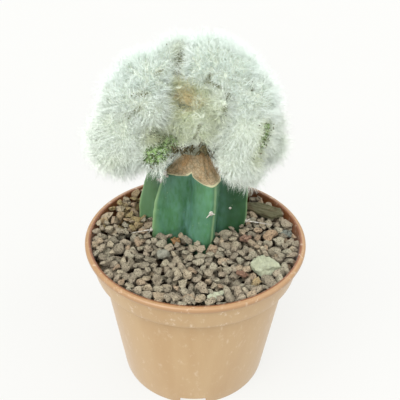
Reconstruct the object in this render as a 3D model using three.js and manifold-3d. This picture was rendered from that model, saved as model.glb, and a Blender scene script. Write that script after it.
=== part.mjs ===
// A crested old man cactus grafted on a ribbed blue-green rootstock, planted in a round plastic pot.
// The pot is filled with potting mix, and a top dressing of crushed lava stone lies over the mix.
// Units are millimetres, +Z is up, and the origin is the centre of the pot's foot, on the surface it stands on.
// The front of the plant, where the crest opens over the graft, faces -Y.
import * as THREE from "three";
import { mergeVertices } from "three/addons/utils/BufferGeometryUtils.js";
import Module from "manifold-3d";

const wasm = await Module();
wasm.setup();

// ---------------------------------------------------------------- driving dimensions
const GAP = 0.35; // clearance kept between two solids that touch in the real object
const TURN = Math.PI * 2;

// The pot: a tapered body, a stepped collar and a rolled lip.
const POT_HEIGHT = 90;
const LIP_RADIUS = 60;
const LIP_HEIGHT = 3;
const COLLAR_FOOT_Z = 74;
const COLLAR_FOOT_RADIUS = 56;
const COLLAR_HEAD_RADIUS = 58.4;
const BODY_HEAD_RADIUS = 52;
const FOOT_RADIUS = 43;
const POT_WALL = 1.6;
const BASE_PLATE_Z = 5; // underside of the base plate, which the foot ring lifts off the table
const FOOT_RING_WIDTH = 2;
const POT_SIDES = 48;
const FOOT_NOTCHES = 3;
const FOOT_NOTCH_WIDTH = 14.5;
const FOOT_NOTCH_HEIGHT = 4.6;
const DRAIN_HOLES = 8;
const DRAIN_HOLE_RADIUS = 3.5;
const DRAIN_CIRCLE_RADIUS = 27;
const CENTRE_HOLE_RADIUS = 5;
const HOLE_SIDES = 16;

// The fill: potting mix below, crushed stone on top, a little lower at the back right.
const SOIL_TOP_Z = 76;
const GRAVEL_Z = 86.3;
const GRAVEL_FALL_RIGHT = 0.025; // per millimetre
const GRAVEL_FALL_BACK = 0.01;
const GRAVEL_SIDES = 40;
const GRAVEL_RINGS = 6;
const GRAVEL_LUMPS = 0.35; // how far the surface swells and dips

// The rootstock: six ribs round an axis that stands behind the pot's centre.
const STOCK_X = -0.5;
const STOCK_Y = 17.5;
const STOCK_LEAN = 0.085; // drift towards +X per millimetre above its foot in the dressing
const STOCK_LEAN_Z = 85;
const STOCK_FOOT_Z = 58;
const STOCK_SHOULDER_Z = 124; // height at which the ribs are cut
const STOCK_HEAD_Z = 136; // flat face that the crest is grafted on
const STOCK_COLUMN = [
  [0, STOCK_FOOT_Z],
  [0.4, 59.5],
  [0.8, 69],
  [0.97, 80],
  [1, 92],
  [0.95, 108],
  [0.82, 126],
  [0.78, 142],
  [0, 142],
]; // share of the ribs' full outline, and the height it holds at
const NECK_RADIUS = 8;
const CUT_SKIRT = [
  [44, -5],
  [28, -2],
  [20, -1.2],
  [14, -0.4],
  [12.3, 2.2],
  [10.8, 5.2],
  [9.4, 8.8],
]; // the corky cut: distance from the axis, and height above the shoulder
const CUT_FALL_RIGHT = 0.075; // the cut's tilt, in radians
const CUT_FALL_FRONT = 0.026;
const CUT_SIDES = 32;
const RIBS = [
  { angle: -8, reach: 29 },
  { angle: 48, reach: 27.5 },
  { angle: 110, reach: 28 },
  { angle: 171, reach: 33.5 },
  { angle: 209, reach: 28 },
  { angle: 285, reach: 26 },
]; // anticlockwise from the right-hand rib, in degrees and millimetres
const GROOVE_RADIUS = 12;
const GROOVE_HEAD_RADIUS = 17; // the grooves fill out towards the cut
const GROOVE_FILL = [108, 126];
const RIDGE_ROUNDNESS = 0.06; // share of a rib's flank that rounds off its edge
const SIDES_PER_RIB = 8;

// The roots, spread in the potting mix.
const ROOTS = 5;
const ROOT_LENGTH = 34;
const ROOT_RADIUS = 2.6;
const ROOT_TIP_RADIUS = 0.6;
const ROOT_STEPS = 5;
const ROOT_PATH = [
  [0.12, -6],
  [0.45, -1],
  [0.75, 10],
  [0.8, 24],
]; // share of the length outwards, and depth below the stock's foot

// The areoles on the rib edges. A spine is how far it points outwards, sideways and upwards, and its length.
const BACK_SPINES = [
  [1, 0.35, 0.15, 9],
  [0.8, -0.9, 0.1, 5],
  [0.7, 0.2, -0.5, 4],
];
const SHORT_SPINES = [
  [0.5, -1, -0.3, 3.5],
  [0.8, -0.2, 0.7, 3],
  [0.7, 0.8, 0.2, 2.4],
];
const AREOLES = [
  { rib: 1, level: "lower", z: 88.7, spines: [[1, -0.12, 0.04, 15], [0.8, 0.5, 0.3, 3]] },
  { rib: 2, level: "lower", z: 91, spines: BACK_SPINES },
  { rib: 2, level: "upper", z: 109, spines: SHORT_SPINES },
  { rib: 3, level: "lower", z: 90.5, spines: BACK_SPINES },
  { rib: 3, level: "upper", z: 107.5, spines: SHORT_SPINES },
  { rib: 4, level: "upper", z: 117, spines: SHORT_SPINES },
  { rib: 5, level: "lower", z: 88.4, spines: [[1, -0.03, 0.12, 11.5], [0.9, 0.6, -0.1, 4]] },
  { rib: 5, level: "upper", z: 119.5, spines: SHORT_SPINES },
  { rib: 6, level: "upper", z: 107, spines: SHORT_SPINES },
];
const AREOLE_RADIUS = 1.1;
const SPINE_RADIUS = 0.45;

// ---------------------------------------------------------------- helpers
const radians = (degrees) => (degrees * Math.PI) / 180;

// A repeatable number from 0 to 1 for each whole-number pair.
function chance(seed, step = 0) {
  const wave = Math.sin(seed * 127.1 + step * 311.7) * 43758.5453;
  return wave - Math.floor(wave);
}

// A three.js geometry as a manifold-3d solid.
function solidOf(geometry) {
  const bare = geometry.clone();
  for (const name of ["normal", "uv"]) bare.deleteAttribute(name);
  const merged = mergeVertices(bare, 1e-4);
  return new wasm.Manifold(
    new wasm.Mesh({
      numProp: 3,
      vertProperties: new Float32Array(merged.attributes.position.array),
      triVerts: new Uint32Array(merged.index.array),
    }),
  );
}

// A manifold-3d solid as a three.js geometry.
function geometryOf(solid) {
  const mesh = solid.getMesh();
  const places = new Float32Array(mesh.numVert * 3);
  for (let i = 0; i < mesh.numVert; i++) {
    const start = i * mesh.numProp;
    places.set(mesh.vertProperties.subarray(start, start + 3), i * 3);
  }
  const geometry = new THREE.BufferGeometry();
  geometry.setAttribute("position", new THREE.BufferAttribute(places, 3));
  geometry.setIndex(new THREE.BufferAttribute(new Uint32Array(mesh.triVerts), 1));
  geometry.computeVertexNormals();
  return geometry;
}

// A profile of [radius, height] pairs turned about the Z axis.
function turned(profile, sides) {
  const points = profile.map(([radius, height]) => new THREE.Vector2(radius, height));
  return new THREE.LatheGeometry(points, sides).rotateX(Math.PI / 2);
}

// Moves every vertex of a geometry with a function that changes a Vector3 in place.
function reshape(geometry, change) {
  const places = geometry.attributes.position;
  const point = new THREE.Vector3();
  for (let i = 0; i < places.count; i++) {
    point.fromBufferAttribute(places, i);
    change(point);
    places.setXYZ(i, point.x, point.y, point.z);
  }
  return geometry;
}

function mesh(name, geometry, colour, roughness) {
  const material = new THREE.MeshStandardMaterial({ color: colour, roughness, metalness: 0 });
  const made = new THREE.Mesh(geometry, material);
  made.name = name;
  return made;
}

// ---------------------------------------------------------------- pot
// The wall's inner radius at a height, taken from the outer profile.
function potInnerRadius(z) {
  const inCollar = z > COLLAR_FOOT_Z + POT_WALL;
  if (inCollar) {
    const along = (z - COLLAR_FOOT_Z) / (POT_HEIGHT - LIP_HEIGHT - COLLAR_FOOT_Z);
    return COLLAR_FOOT_RADIUS + (COLLAR_HEAD_RADIUS - COLLAR_FOOT_RADIUS) * along - POT_WALL;
  }
  return FOOT_RADIUS + ((BODY_HEAD_RADIUS - FOOT_RADIUS) * z) / COLLAR_FOOT_Z - POT_WALL;
}

function pot() {
  const plateTop = BASE_PLATE_Z + POT_WALL;
  const footInner = FOOT_RADIUS - FOOT_RING_WIDTH;
  const lipFoot = POT_HEIGHT - LIP_HEIGHT;
  const lipInner = potInnerRadius(POT_HEIGHT - 1);
  const shell = turned(
    [
      [0, BASE_PLATE_Z],
      [footInner, BASE_PLATE_Z],
      [footInner, 0],
      [FOOT_RADIUS - 0.5, 0],
      [FOOT_RADIUS, 0.6],
      [BODY_HEAD_RADIUS, COLLAR_FOOT_Z],
      [COLLAR_FOOT_RADIUS - 0.5, COLLAR_FOOT_Z],
      [COLLAR_FOOT_RADIUS, COLLAR_FOOT_Z + 0.5],
      [COLLAR_HEAD_RADIUS, lipFoot],
      [LIP_RADIUS - 0.3, lipFoot + 0.6],
      [LIP_RADIUS, lipFoot + 1.2],
      [LIP_RADIUS, POT_HEIGHT - 0.9],
      [LIP_RADIUS - 0.9, POT_HEIGHT],
      [lipInner + 0.6, POT_HEIGHT],
      [lipInner, POT_HEIGHT - 1],
      [potInnerRadius(COLLAR_FOOT_Z + POT_WALL + 0.1), COLLAR_FOOT_Z + POT_WALL],
      [potInnerRadius(COLLAR_FOOT_Z), COLLAR_FOOT_Z + POT_WALL - 0.6],
      [potInnerRadius(plateTop), plateTop],
      [0, plateTop],
    ],
    POT_SIDES,
  );
  let solid = solidOf(shell);
  const drill = (radius, x, y) => {
    const tool = new THREE.CylinderGeometry(radius, radius, POT_WALL * 4, HOLE_SIDES).rotateX(Math.PI / 2);
    solid = solid.subtract(solidOf(tool.translate(x, y, BASE_PLATE_Z + POT_WALL / 2)));
  };
  drill(CENTRE_HOLE_RADIUS, 0, 0);
  for (let i = 0; i < DRAIN_HOLES; i++) {
    const angle = ((i + 0.5) * TURN) / DRAIN_HOLES;
    drill(DRAIN_HOLE_RADIUS, DRAIN_CIRCLE_RADIUS * Math.cos(angle), DRAIN_CIRCLE_RADIUS * Math.sin(angle));
  }
  for (let i = 0; i < FOOT_NOTCHES; i++) {
    const notch = new THREE.BoxGeometry(FOOT_RING_WIDTH * 5, FOOT_NOTCH_WIDTH, FOOT_NOTCH_HEIGHT * 2);
    notch.translate(FOOT_RADIUS, 0, 0).rotateZ((i * TURN) / FOOT_NOTCHES - TURN / 4);
    solid = solid.subtract(solidOf(notch));
  }
  return solid;
}

// ---------------------------------------------------------------- rootstock
// The ribs' full outline at a height and a share of the way round it: the direction and the reach from the axis.
function ribOutline(share, z) {
  const place = share * RIBS.length;
  const start = Math.floor(place + 1e-6);
  const from = RIBS[start % RIBS.length];
  const to = RIBS[(start + 1) % RIBS.length];
  const along = place - start;
  const span = (to.angle - from.angle + 360) % 360;
  const reach = THREE.MathUtils.lerp(from.reach, to.reach, along);
  const fromRidge = 2 * Math.min(along, 1 - along);
  const rise = 1 + RIDGE_ROUNDNESS - Math.hypot(fromRidge, RIDGE_ROUNDNESS);
  const filled = THREE.MathUtils.clamp(THREE.MathUtils.mapLinear(z, ...GROOVE_FILL, 0, 1), 0, 1);
  const groove = THREE.MathUtils.lerp(GROOVE_RADIUS, GROOVE_HEAD_RADIUS, filled);
  return { angle: radians(from.angle + span * along), radius: groove + (reach - groove) * rise };
}

// The share of the full outline that the stock holds at a height.
function columnShare(z) {
  const above = STOCK_COLUMN.findIndex(([, height]) => height >= z);
  const [lowShare, low] = STOCK_COLUMN[above - 1];
  const [highShare, high] = STOCK_COLUMN[above];
  return THREE.MathUtils.mapLinear(z, low, high, lowShare, highShare);
}

// How far the stock has drifted towards +X at a height.
function leanAt(z) {
  return STOCK_LEAN * Math.max(0, z - STOCK_LEAN_Z);
}

// The stock grown outwards by a clearance on every face; 0 gives the stock itself.
function rootstock(grow = 0) {
  const ribbed = reshape(turned(STOCK_COLUMN, SIDES_PER_RIB * RIBS.length), (p) => {
    const share = Math.hypot(p.x, p.y);
    const isEnd = share < 1e-6;
    if (isEnd) {
      p.z += p.z < STOCK_SHOULDER_Z ? -grow : grow;
      p.x += leanAt(p.z);
      return;
    }
    const round = (Math.atan2(p.y, p.x) / TURN + 1) % 1;
    const { angle, radius } = ribOutline(round, p.z);
    p.x = (share * radius + grow) * Math.cos(angle) + leanAt(p.z);
    p.y = (share * radius + grow) * Math.sin(angle);
  });
  // The grafting cut: a corky skirt that rises to a flat neck.
  const skirt = CUT_SKIRT.map(([radius, rise]) => [radius + grow, rise + grow]);
  const below = STOCK_FOOT_Z - STOCK_SHOULDER_Z - 10;
  const head = STOCK_HEAD_Z - STOCK_SHOULDER_Z + grow;
  const cut = turned(
    [[0, below], [skirt[0][0], below], ...skirt, [NECK_RADIUS + grow, head], [0, head]],
    CUT_SIDES,
  );
  cut.rotateX(CUT_FALL_FRONT).rotateY(CUT_FALL_RIGHT).translate(0, 0, STOCK_SHOULDER_Z);
  let solid = solidOf(ribbed).intersect(solidOf(cut));
  for (let i = 0; i < ROOTS; i++) {
    const angle = ((i + chance(i, 3) / 2) * TURN) / ROOTS;
    const length = ROOT_LENGTH * (0.7 + 0.3 * chance(i, 4));
    const outwards = new THREE.Vector3(Math.cos(angle), Math.sin(angle), 0);
    const points = ROOT_PATH.map(([share, depth]) =>
      outwards.clone().multiplyScalar(length * share).setZ(STOCK_FOOT_Z - depth),
    );
    solid = solid.add(taperedRoot(new THREE.CatmullRomCurve3(points), grow));
  }
  return solid.translate(STOCK_X, STOCK_Y, 0);
}

// A root that thins along its path, closed at both ends.
function taperedRoot(path, grow) {
  const section = new THREE.Shape();
  section.absarc(0, 0, 1, 0, TURN, false);
  const tube = new THREE.ExtrudeGeometry(section, { steps: ROOT_STEPS, extrudePath: path, curveSegments: 6 });
  const places = Array.from({ length: ROOT_STEPS + 1 }, (_, i) => path.getPointAt(i / ROOT_STEPS));
  reshape(tube, (p) => {
    const distances = places.map((place) => p.distanceTo(place));
    const nearest = distances.indexOf(Math.min(...distances));
    const radius = THREE.MathUtils.lerp(ROOT_RADIUS, ROOT_TIP_RADIUS, nearest / ROOT_STEPS) + grow;
    p.sub(places[nearest]).multiplyScalar(radius).add(places[nearest]);
  });
  return solidOf(tube);
}

// ---------------------------------------------------------------- crest
// The crest is one grown piece: fans that fold down to the left, to the right and behind the graft.
// Each fold is a row of overlapping bulges along a curve; a point is [x, y, z, radius].
const FOLDS = [
  [
    [-22, -5, 139, 12],
    [-39, -1, 138.5, 16.5],
    [-33, 7, 156, 18.5],
    [-28, 15, 166, 18.2],
    [-10, 24, 172, 18.5],
  ],
  [
    [28, -1, 127, 9],
    [19, -5, 143, 15.5],
    [25.5, 5, 156.5, 18.5],
    [18, 13, 169, 17.5],
    [6, 20, 174, 18.3],
  ],
  [
    [-36, 20, 142, 15],
    [-27, 32, 150, 18],
    [-2, 37, 155, 20],
    [22, 34, 151, 18],
    [36, 14, 138, 14],
  ],
  [
    [-10, 6, 144, 10],
    [0, 1, 147, 12],
    [1, -2, 155, 11],
    [2, 3, 164, 10],
  ],
];
const BULGES_PER_FOLD = 6;
const BULGE_SIDES = 12;
const BULGE_RINGS = 8;
const CORE = [-1, 19, 156, 21];
const CREST_NECK_RADIUS = 9.5;
const CREST_NECK_FLARE = 4;
const CREST_NECK_HEIGHT = 16;

// The bulges of one fold, spread evenly along the curve through its points.
function foldBulges(fold) {
  const path = new THREE.CatmullRomCurve3(fold.map(([x, y, z]) => new THREE.Vector3(x, y, z)));
  return Array.from({ length: BULGES_PER_FOLD }, (_, i) => {
    const along = i / (BULGES_PER_FOLD - 1);
    const place = along * (fold.length - 1);
    const before = Math.min(Math.floor(place), fold.length - 2);
    const radius = THREE.MathUtils.lerp(fold[before][3], fold[before + 1][3], place - before);
    return [...path.getPoint(along).toArray(), radius];
  });
}

function crest() {
  const head = CREST_NECK_RADIUS + CREST_NECK_FLARE;
  const neck = new THREE.CylinderGeometry(head, CREST_NECK_RADIUS, CREST_NECK_HEIGHT, CUT_SIDES);
  neck.rotateX(Math.PI / 2).translate(STOCK_X, STOCK_Y, STOCK_HEAD_Z + GAP + CREST_NECK_HEIGHT / 2);
  const bulges = [...FOLDS.flatMap(foldBulges), CORE].map(([x, y, z, radius]) =>
    solidOf(new THREE.SphereGeometry(radius, BULGE_SIDES, BULGE_RINGS).translate(x, y, z)),
  );
  return bulges.reduce((solid, bulge) => solid.add(bulge), solidOf(neck)).subtract(rootstock(GAP));
}

// ---------------------------------------------------------------- stones
// Stones that stand out in the dressing, set by hand: place, length, width, height, turn and colour.
const MARKED_STONES = [
  { name: "cream_stone_large", x: 36.5, y: -25, size: [15.5, 12, 10], turn: -12, colour: 0xd8d2ae },
  { name: "cream_stone_small", x: 10.5, y: -47, size: [9.5, 6, 5], turn: 14, colour: 0xcdc79f },
  { name: "red_stone_right", x: 27.5, y: 0, size: [6.5, 5, 4.5], turn: 20, colour: 0x8d6457 },
  { name: "red_stone_front", x: 24, y: -30, size: [6, 4, 3.6], turn: -30, colour: 0x8a6153 },
  { name: "amber_stone", x: -11, y: -3.5, size: [6, 5, 5], turn: 35, colour: 0xa07a58 },
  { name: "slate_stone_left", x: -17.5, y: -16.5, size: [8, 6, 5], turn: 20, colour: 0x8a8f8c },
  { name: "slate_stone_right", x: 51.3, y: 6, size: [7.5, 5.5, 5], turn: 10, colour: 0x6d7472 },
  { name: "long_stone_right", x: 41, y: 3, size: [11, 6, 5.5], turn: 35, colour: 0x8b7a68 },
];
const LAVA_COLOUR = 0x84776b;
const LOOSE_STONES = 16;
const LOOSE_STONE_SIZE = [5, 8];
const LOOSE_STONE_REACH = 51; // the widest ring of loose stones
const LOOSE_STONE_PLACES = 75; // places tried on a sunflower spiral
const RING_STRIDE = 7; // the rings are taken out of order, so that the stones scatter
const SPIRAL_STEP = 2.39996; // the golden angle, in radians
const STONE_SPACING = 1.5;
const STONE_RISE = 0.12; // how far a stone's middle stands above the bed, as a share of its height

// Height of the dressing's surface.
function gravelHeight(x, y) {
  const lumps = Math.sin(x * 0.31 + 1.3) * Math.cos(y * 0.27) + 0.6 * Math.sin(x * 0.11 - y * 0.17);
  return GRAVEL_Z - x * GRAVEL_FALL_RIGHT - y * GRAVEL_FALL_BACK + lumps * GRAVEL_LUMPS;
}

// A rough closed stone of a length, width and height about the origin.
function stoneGeometry([length, width, height], seed) {
  const stone = reshape(new THREE.IcosahedronGeometry(0.5, 1), (p) => {
    const corner = Math.round(p.x * 97) + Math.round(p.y * 89) * 3 + Math.round(p.z * 83) * 7;
    p.multiplyScalar(0.88 + 0.22 * chance(corner, seed));
  });
  return stone.scale(length, width, height);
}

// Every separate stone: the marked ones, then loose ones spread evenly where there is room.
function stones(obstacles) {
  const all = MARKED_STONES.map((stone, i) => ({ ...stone, seed: i + 1 }));
  const wanted = all.length + LOOSE_STONES;
  for (let place = 0; all.length < wanted && place < LOOSE_STONE_PLACES; place++) {
    const seed = place + 20;
    const ring = (place * RING_STRIDE) % LOOSE_STONE_PLACES;
    const distance = LOOSE_STONE_REACH * Math.sqrt((ring + 0.5) / LOOSE_STONE_PLACES);
    const angle = place * SPIRAL_STEP;
    const x = distance * Math.cos(angle);
    const y = distance * Math.sin(angle);
    const length = THREE.MathUtils.lerp(...LOOSE_STONE_SIZE, chance(seed, 2));
    const isFree = all.every(
      (other) => Math.hypot(other.x - x, other.y - y) > (other.size[0] + length) / 2 + STONE_SPACING,
    );
    if (!isFree) continue;
    const size = [length, length * (0.7 + 0.2 * chance(seed, 5)), length * (0.6 + 0.2 * chance(seed, 6))];
    const number = String(all.length - MARKED_STONES.length + 1).padStart(2, "0");
    const turn = 360 * chance(seed, 7);
    const stone = { name: `lava_stone_${number}`, x, y, size, turn, colour: LAVA_COLOUR, seed };
    const isClear = stoneSolid(stone).intersect(obstacles).volume() === 0;
    if (isClear) all.push(stone);
  }
  return all.map((stone) => ({ ...stone, solid: stoneSolid(stone), hollow: stoneSolid(stone, GAP + 0.1) }));
}

// A stone where it lies, grown by a clearance; a little under half of it stands above the bed.
function stoneSolid(stone, grow = 0) {
  const size = stone.size.map((side) => side + 2 * grow);
  const geometry = stoneGeometry(size, stone.seed).rotateZ(radians(stone.turn));
  const z = gravelHeight(stone.x, stone.y) + stone.size[2] * STONE_RISE;
  return solidOf(geometry.translate(stone.x, stone.y, z));
}

// A flat chip of bark that leans on the dressing behind the rootstock.
const BARK_CHIP = { x: 40, y: 25.5, size: [25, 9, 2.6], tip: 18, turn: -34, lean: -8, rise: 2.6 };

function barkChip(grow = 0) {
  const [length, width, thickness] = BARK_CHIP.size.map((side) => side + 2 * grow);
  const outline = new THREE.Shape();
  outline.moveTo(-length / 2, -width * 0.3);
  outline.lineTo(length * 0.3, -width / 2);
  outline.lineTo(length / 2, -width * 0.05);
  outline.lineTo(length * 0.38, width * 0.4);
  outline.lineTo(-length * 0.2, width / 2);
  outline.lineTo(-length / 2, width * 0.25);
  outline.closePath();
  const chip = new THREE.ExtrudeGeometry(outline, { depth: thickness, bevelEnabled: false });
  chip.translate(0, 0, -thickness / 2).rotateX(radians(BARK_CHIP.tip));
  chip.rotateY(radians(BARK_CHIP.lean)).rotateZ(radians(BARK_CHIP.turn));
  const z = gravelHeight(BARK_CHIP.x, BARK_CHIP.y) + BARK_CHIP.rise;
  return solidOf(chip.translate(BARK_CHIP.x, BARK_CHIP.y, z));
}

// ---------------------------------------------------------------- fill
function soil() {
  const floor = BASE_PLATE_Z + POT_WALL + GAP;
  const fill = turned(
    [
      [0, floor],
      [potInnerRadius(floor) - 2 - GAP, floor],
      [potInnerRadius(floor + 2) - GAP - 0.2, floor + 2],
      [potInnerRadius(COLLAR_FOOT_Z - 1) - GAP - 0.1, COLLAR_FOOT_Z - 1],
      [potInnerRadius(COLLAR_FOOT_Z - 1) - GAP - 0.1, SOIL_TOP_Z],
      [0, SOIL_TOP_Z],
    ],
    POT_SIDES,
  );
  return solidOf(fill).subtract(rootstock(GAP));
}

function gravelBed(cuts) {
  const foot = SOIL_TOP_Z + GAP;
  const footRadius = potInnerRadius(foot) - GAP - 0.1;
  const headRadius = potInnerRadius(GRAVEL_Z) - GAP - 0.4;
  const surface = Array.from({ length: GRAVEL_RINGS + 1 }, (_, i) => {
    return [headRadius * (1 - i / GRAVEL_RINGS), GRAVEL_Z];
  });
  const bed = turned([[0, foot], [footRadius, foot], ...surface], GRAVEL_SIDES);
  reshape(bed, (p) => {
    if (p.z > GRAVEL_Z - 1) p.z = gravelHeight(p.x, p.y);
  });
  return cuts.reduce((solid, cut) => solid.subtract(cut), solidOf(bed).subtract(rootstock(GAP)));
}

// ---------------------------------------------------------------- spines
// One areole: a felt pad on the rib's edge, with its spines.
function areole(rib, z, spines) {
  const pad = new THREE.SphereGeometry(AREOLE_RADIUS, 6, 4).scale(0.6, 1, 1.2);
  let solid = solidOf(pad.translate(AREOLE_RADIUS * 0.6, 0, 0));
  for (const [out, side, up, length] of spines) {
    const spine = new THREE.ConeGeometry(SPINE_RADIUS, length, 4).translate(0, length / 2, 0);
    const direction = new THREE.Vector3(out, side, up).normalize();
    spine.applyQuaternion(new THREE.Quaternion().setFromUnitVectors(new THREE.Vector3(0, 1, 0), direction));
    solid = solid.add(solidOf(spine.translate(AREOLE_RADIUS * 0.7, 0, 0)));
  }
  const onEdge = solid.translate(rib.reach * columnShare(z) + GAP, 0, 0).rotate(0, 0, rib.angle);
  return onEdge.translate(STOCK_X + leanAt(z), STOCK_Y, z);
}

// ---------------------------------------------------------------- assembly
const plant = new THREE.Group();
plant.name = "potted_old_man_cactus";

const chip = barkChip();
const spineSolids = AREOLES.map(({ rib, level, z, spines }) => ({
  name: `spines_rib_${rib}_${level}`,
  solid: areole(RIBS[rib - 1], z, spines),
}));
const spines = spineSolids.reduce((all, { solid }) => all.add(solid), barkChip(GAP));
const dressing = stones(rootstock(GAP).add(spines));
const stoneHollows = [...dressing.map((stone) => stone.hollow), barkChip(GAP)];

plant.add(mesh("pot", geometryOf(pot()), 0xc98f63, 0.45));
plant.add(mesh("potting_mix", geometryOf(soil()), 0x3b2a1f, 1));
plant.add(mesh("gravel_bed", geometryOf(gravelBed(stoneHollows)), 0x7d7064, 1));
plant.add(mesh("rootstock", geometryOf(rootstock()), 0x4f8a68, 0.5));
plant.add(mesh("crest", geometryOf(crest()), 0xe6e8dc, 1));
for (const stone of dressing) plant.add(mesh(stone.name, geometryOf(stone.solid), stone.colour, 0.95));
plant.add(mesh("bark_chip", geometryOf(chip), 0x5d5a4c, 0.9));
for (const { name, solid } of spineSolids) plant.add(mesh(name, geometryOf(solid), 0xcfc9bd, 0.7));

export default plant;
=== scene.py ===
"""Dresses a potted, grafted woolly cactus: pot, lava dressing, ribbed rootstock and woolled crest."""

import sys
import logging
import math
from collections.abc import Callable, Sequence
from dataclasses import dataclass, field
from enum import Enum
from functools import cache
from itertools import pairwise

import bmesh
import bpy
import numpy as np
from bmesh.types import BMEdge, BMesh, BMFace, BMVert
from bpy.types import ID, Material, Mesh, Node, NodeSocket, NodeTree, Object
from mathutils import Euler, Matrix, Vector, noise
from mathutils.kdtree import KDTree
from numpy.random import Generator


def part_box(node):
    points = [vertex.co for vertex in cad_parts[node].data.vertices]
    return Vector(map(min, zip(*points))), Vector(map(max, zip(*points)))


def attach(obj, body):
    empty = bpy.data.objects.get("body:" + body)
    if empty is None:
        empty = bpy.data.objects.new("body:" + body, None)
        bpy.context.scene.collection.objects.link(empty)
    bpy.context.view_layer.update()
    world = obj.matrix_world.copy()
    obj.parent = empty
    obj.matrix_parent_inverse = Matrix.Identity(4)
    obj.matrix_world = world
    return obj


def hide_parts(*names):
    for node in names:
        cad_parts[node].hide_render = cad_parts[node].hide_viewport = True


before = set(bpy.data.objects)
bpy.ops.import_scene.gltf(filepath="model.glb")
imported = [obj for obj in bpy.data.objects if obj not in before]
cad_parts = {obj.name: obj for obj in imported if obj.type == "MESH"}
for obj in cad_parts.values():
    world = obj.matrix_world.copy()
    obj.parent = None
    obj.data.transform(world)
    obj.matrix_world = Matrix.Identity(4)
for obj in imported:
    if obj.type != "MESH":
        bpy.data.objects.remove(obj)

LOG = logging.getLogger("cactus")
MM = 0.001
SAME_PLACE = 0.001 * MM
FIELD_SEED = 3
STRUCK_FACES = 8
BODY = "root"
MAP = "OFBake"
X, Y, Z = range(3)
Array = np.ndarray
Pair = tuple[float, float]
Place = tuple[float, float, float]
Colour = tuple[float, float, float, float]
Stops = tuple[tuple[float, Colour], ...]
Feed = NodeSocket | float | tuple | None


# ---- small helpers
def tone(red: int, green: int, blue: int) -> Colour:
    """Turns an 8-bit display colour into the linear colour that shaders take."""
    shares = (red / 255, green / 255, blue / 255)
    linear = (s / 12.92 if s <= 0.04045 else ((s + 0.055) / 1.055) ** 2.4 for s in shares)
    return (*linear, 1.0)


def shades(*colours: tuple[int, int, int]) -> Stops:
    """Spaces display colours evenly along a ramp."""
    return tuple((i / (len(colours) - 1), tone(*colour)) for i, colour in enumerate(colours))


def unit(vectors: Array) -> Array:
    """Scales each row of an array of vectors to length 1."""
    return vectors / np.maximum(np.linalg.norm(vectors, axis=-1, keepdims=True), 1e-9)


def noise_vectors(points: Array, scale: float, seed: float) -> Array:
    """Reads a smooth random vector field.

    Args:
        points: Places in millimetres, one a row.
        scale: How many noise cells there are in a millimetre.
        seed: Shift of the field, for another pattern.

    Returns:
        One vector a row, each part from about -1 to 1.
    """
    shift = Vector((seed, seed * 1.7, -seed))
    noise.seed_set(FIELD_SEED)
    return np.array([noise.noise_vector(Vector(p) * scale + shift) for p in points])


def smooth_step(low: float, high: float, value: Array | float) -> Array | float:
    """Rises smoothly from 0 at low to 1 at high."""
    share = np.clip((value - low) / (high - low), 0.0, 1.0)
    return share * share * (3 - 2 * share)


def mesh_of(name: str, bm: BMesh) -> Mesh:
    """Makes a mesh of an open one, which is freed.

    Args:
        name: The new mesh's name.
        bm: The open mesh, in metres.

    Returns:
        The mesh.
    """
    mesh = bpy.data.meshes.new(name)
    bm.to_mesh(mesh)
    bm.free()
    return mesh


def opened(mesh: Mesh) -> BMesh:
    """Opens a mesh for work on its vertices and faces."""
    bm = bmesh.new()
    bm.from_mesh(mesh)
    return bm


def linked(name: str, data: ID) -> Object:
    """Makes an object of a mesh, lamp or camera, in the scene."""
    made = bpy.data.objects.new(name, data)
    bpy.context.scene.collection.objects.link(made)
    return made


def finished(name: str, shape: BMesh | Mesh, slot: str, *materials: Material) -> Object:
    """Makes the object of a finished piece, with its materials and body.

    Args:
        name: The piece's name.
        shape: Its mesh in metres; an open one is freed.
        slot: The record's material slot; not used.
        materials: Its materials, in the order of the faces' material numbers.

    Returns:
        The new object, at the origin.
    """
    mesh = shape if isinstance(shape, Mesh) else mesh_of(name, shape)
    for material in materials:
        mesh.materials.append(material)
    piece = linked(name, mesh)
    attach(piece, BODY)
    LOG.info("%s: %d faces", name, len(mesh.polygons))
    return piece


def with_modifiers(mesh: Mesh, *steps: tuple[str, dict]) -> Mesh:
    """Runs modifiers over a mesh and returns the result.

    Args:
        mesh: The mesh to start from.
        steps: Each modifier's type and settings.

    Returns:
        A new mesh.
    """
    holder = linked("holder", mesh)
    for kind, settings in steps:
        modifier = holder.modifiers.new(kind.title(), kind)
        for key, value in settings.items():
            setattr(modifier, key, value)
    evaluated = holder.evaluated_get(bpy.context.evaluated_depsgraph_get())
    result = bpy.data.meshes.new_from_object(evaluated)
    bpy.data.objects.remove(holder)
    return result


def remesh(voxel: float) -> tuple[str, dict]:
    """Describes the modifier that makes a mesh anew from voxels, of a size in millimetres."""
    return "REMESH", {"mode": "VOXEL", "voxel_size": voxel * MM}


def smoothing(times: int) -> tuple[str, dict]:
    """Describes the modifier that smooths a mesh a number of times."""
    return "SMOOTH", {"factor": 0.5, "iterations": times}


def merged_copy(node: str) -> Mesh:
    """Copies a CAD node's mesh with its doubled vertices merged."""
    bm = opened(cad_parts[node].data)
    bmesh.ops.remove_doubles(bm, verts=bm.verts, dist=SAME_PLACE)
    copy = mesh_of(f"{node}_copy", bm)
    copy.materials.clear()
    return copy


def displace(bm: BMesh, height: Callable[[Vector, Vector], float]) -> None:
    """Moves each vertex along its normal.

    Args:
        bm: The mesh, in metres.
        height: Gives the move in millimetres from a place in millimetres and the normal there.
    """
    bm.normal_update()
    moves = [(v, v.normal * height(v.co / MM, v.normal) * MM) for v in bm.verts]
    for vert, move in moves:
        vert.co += move


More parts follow.
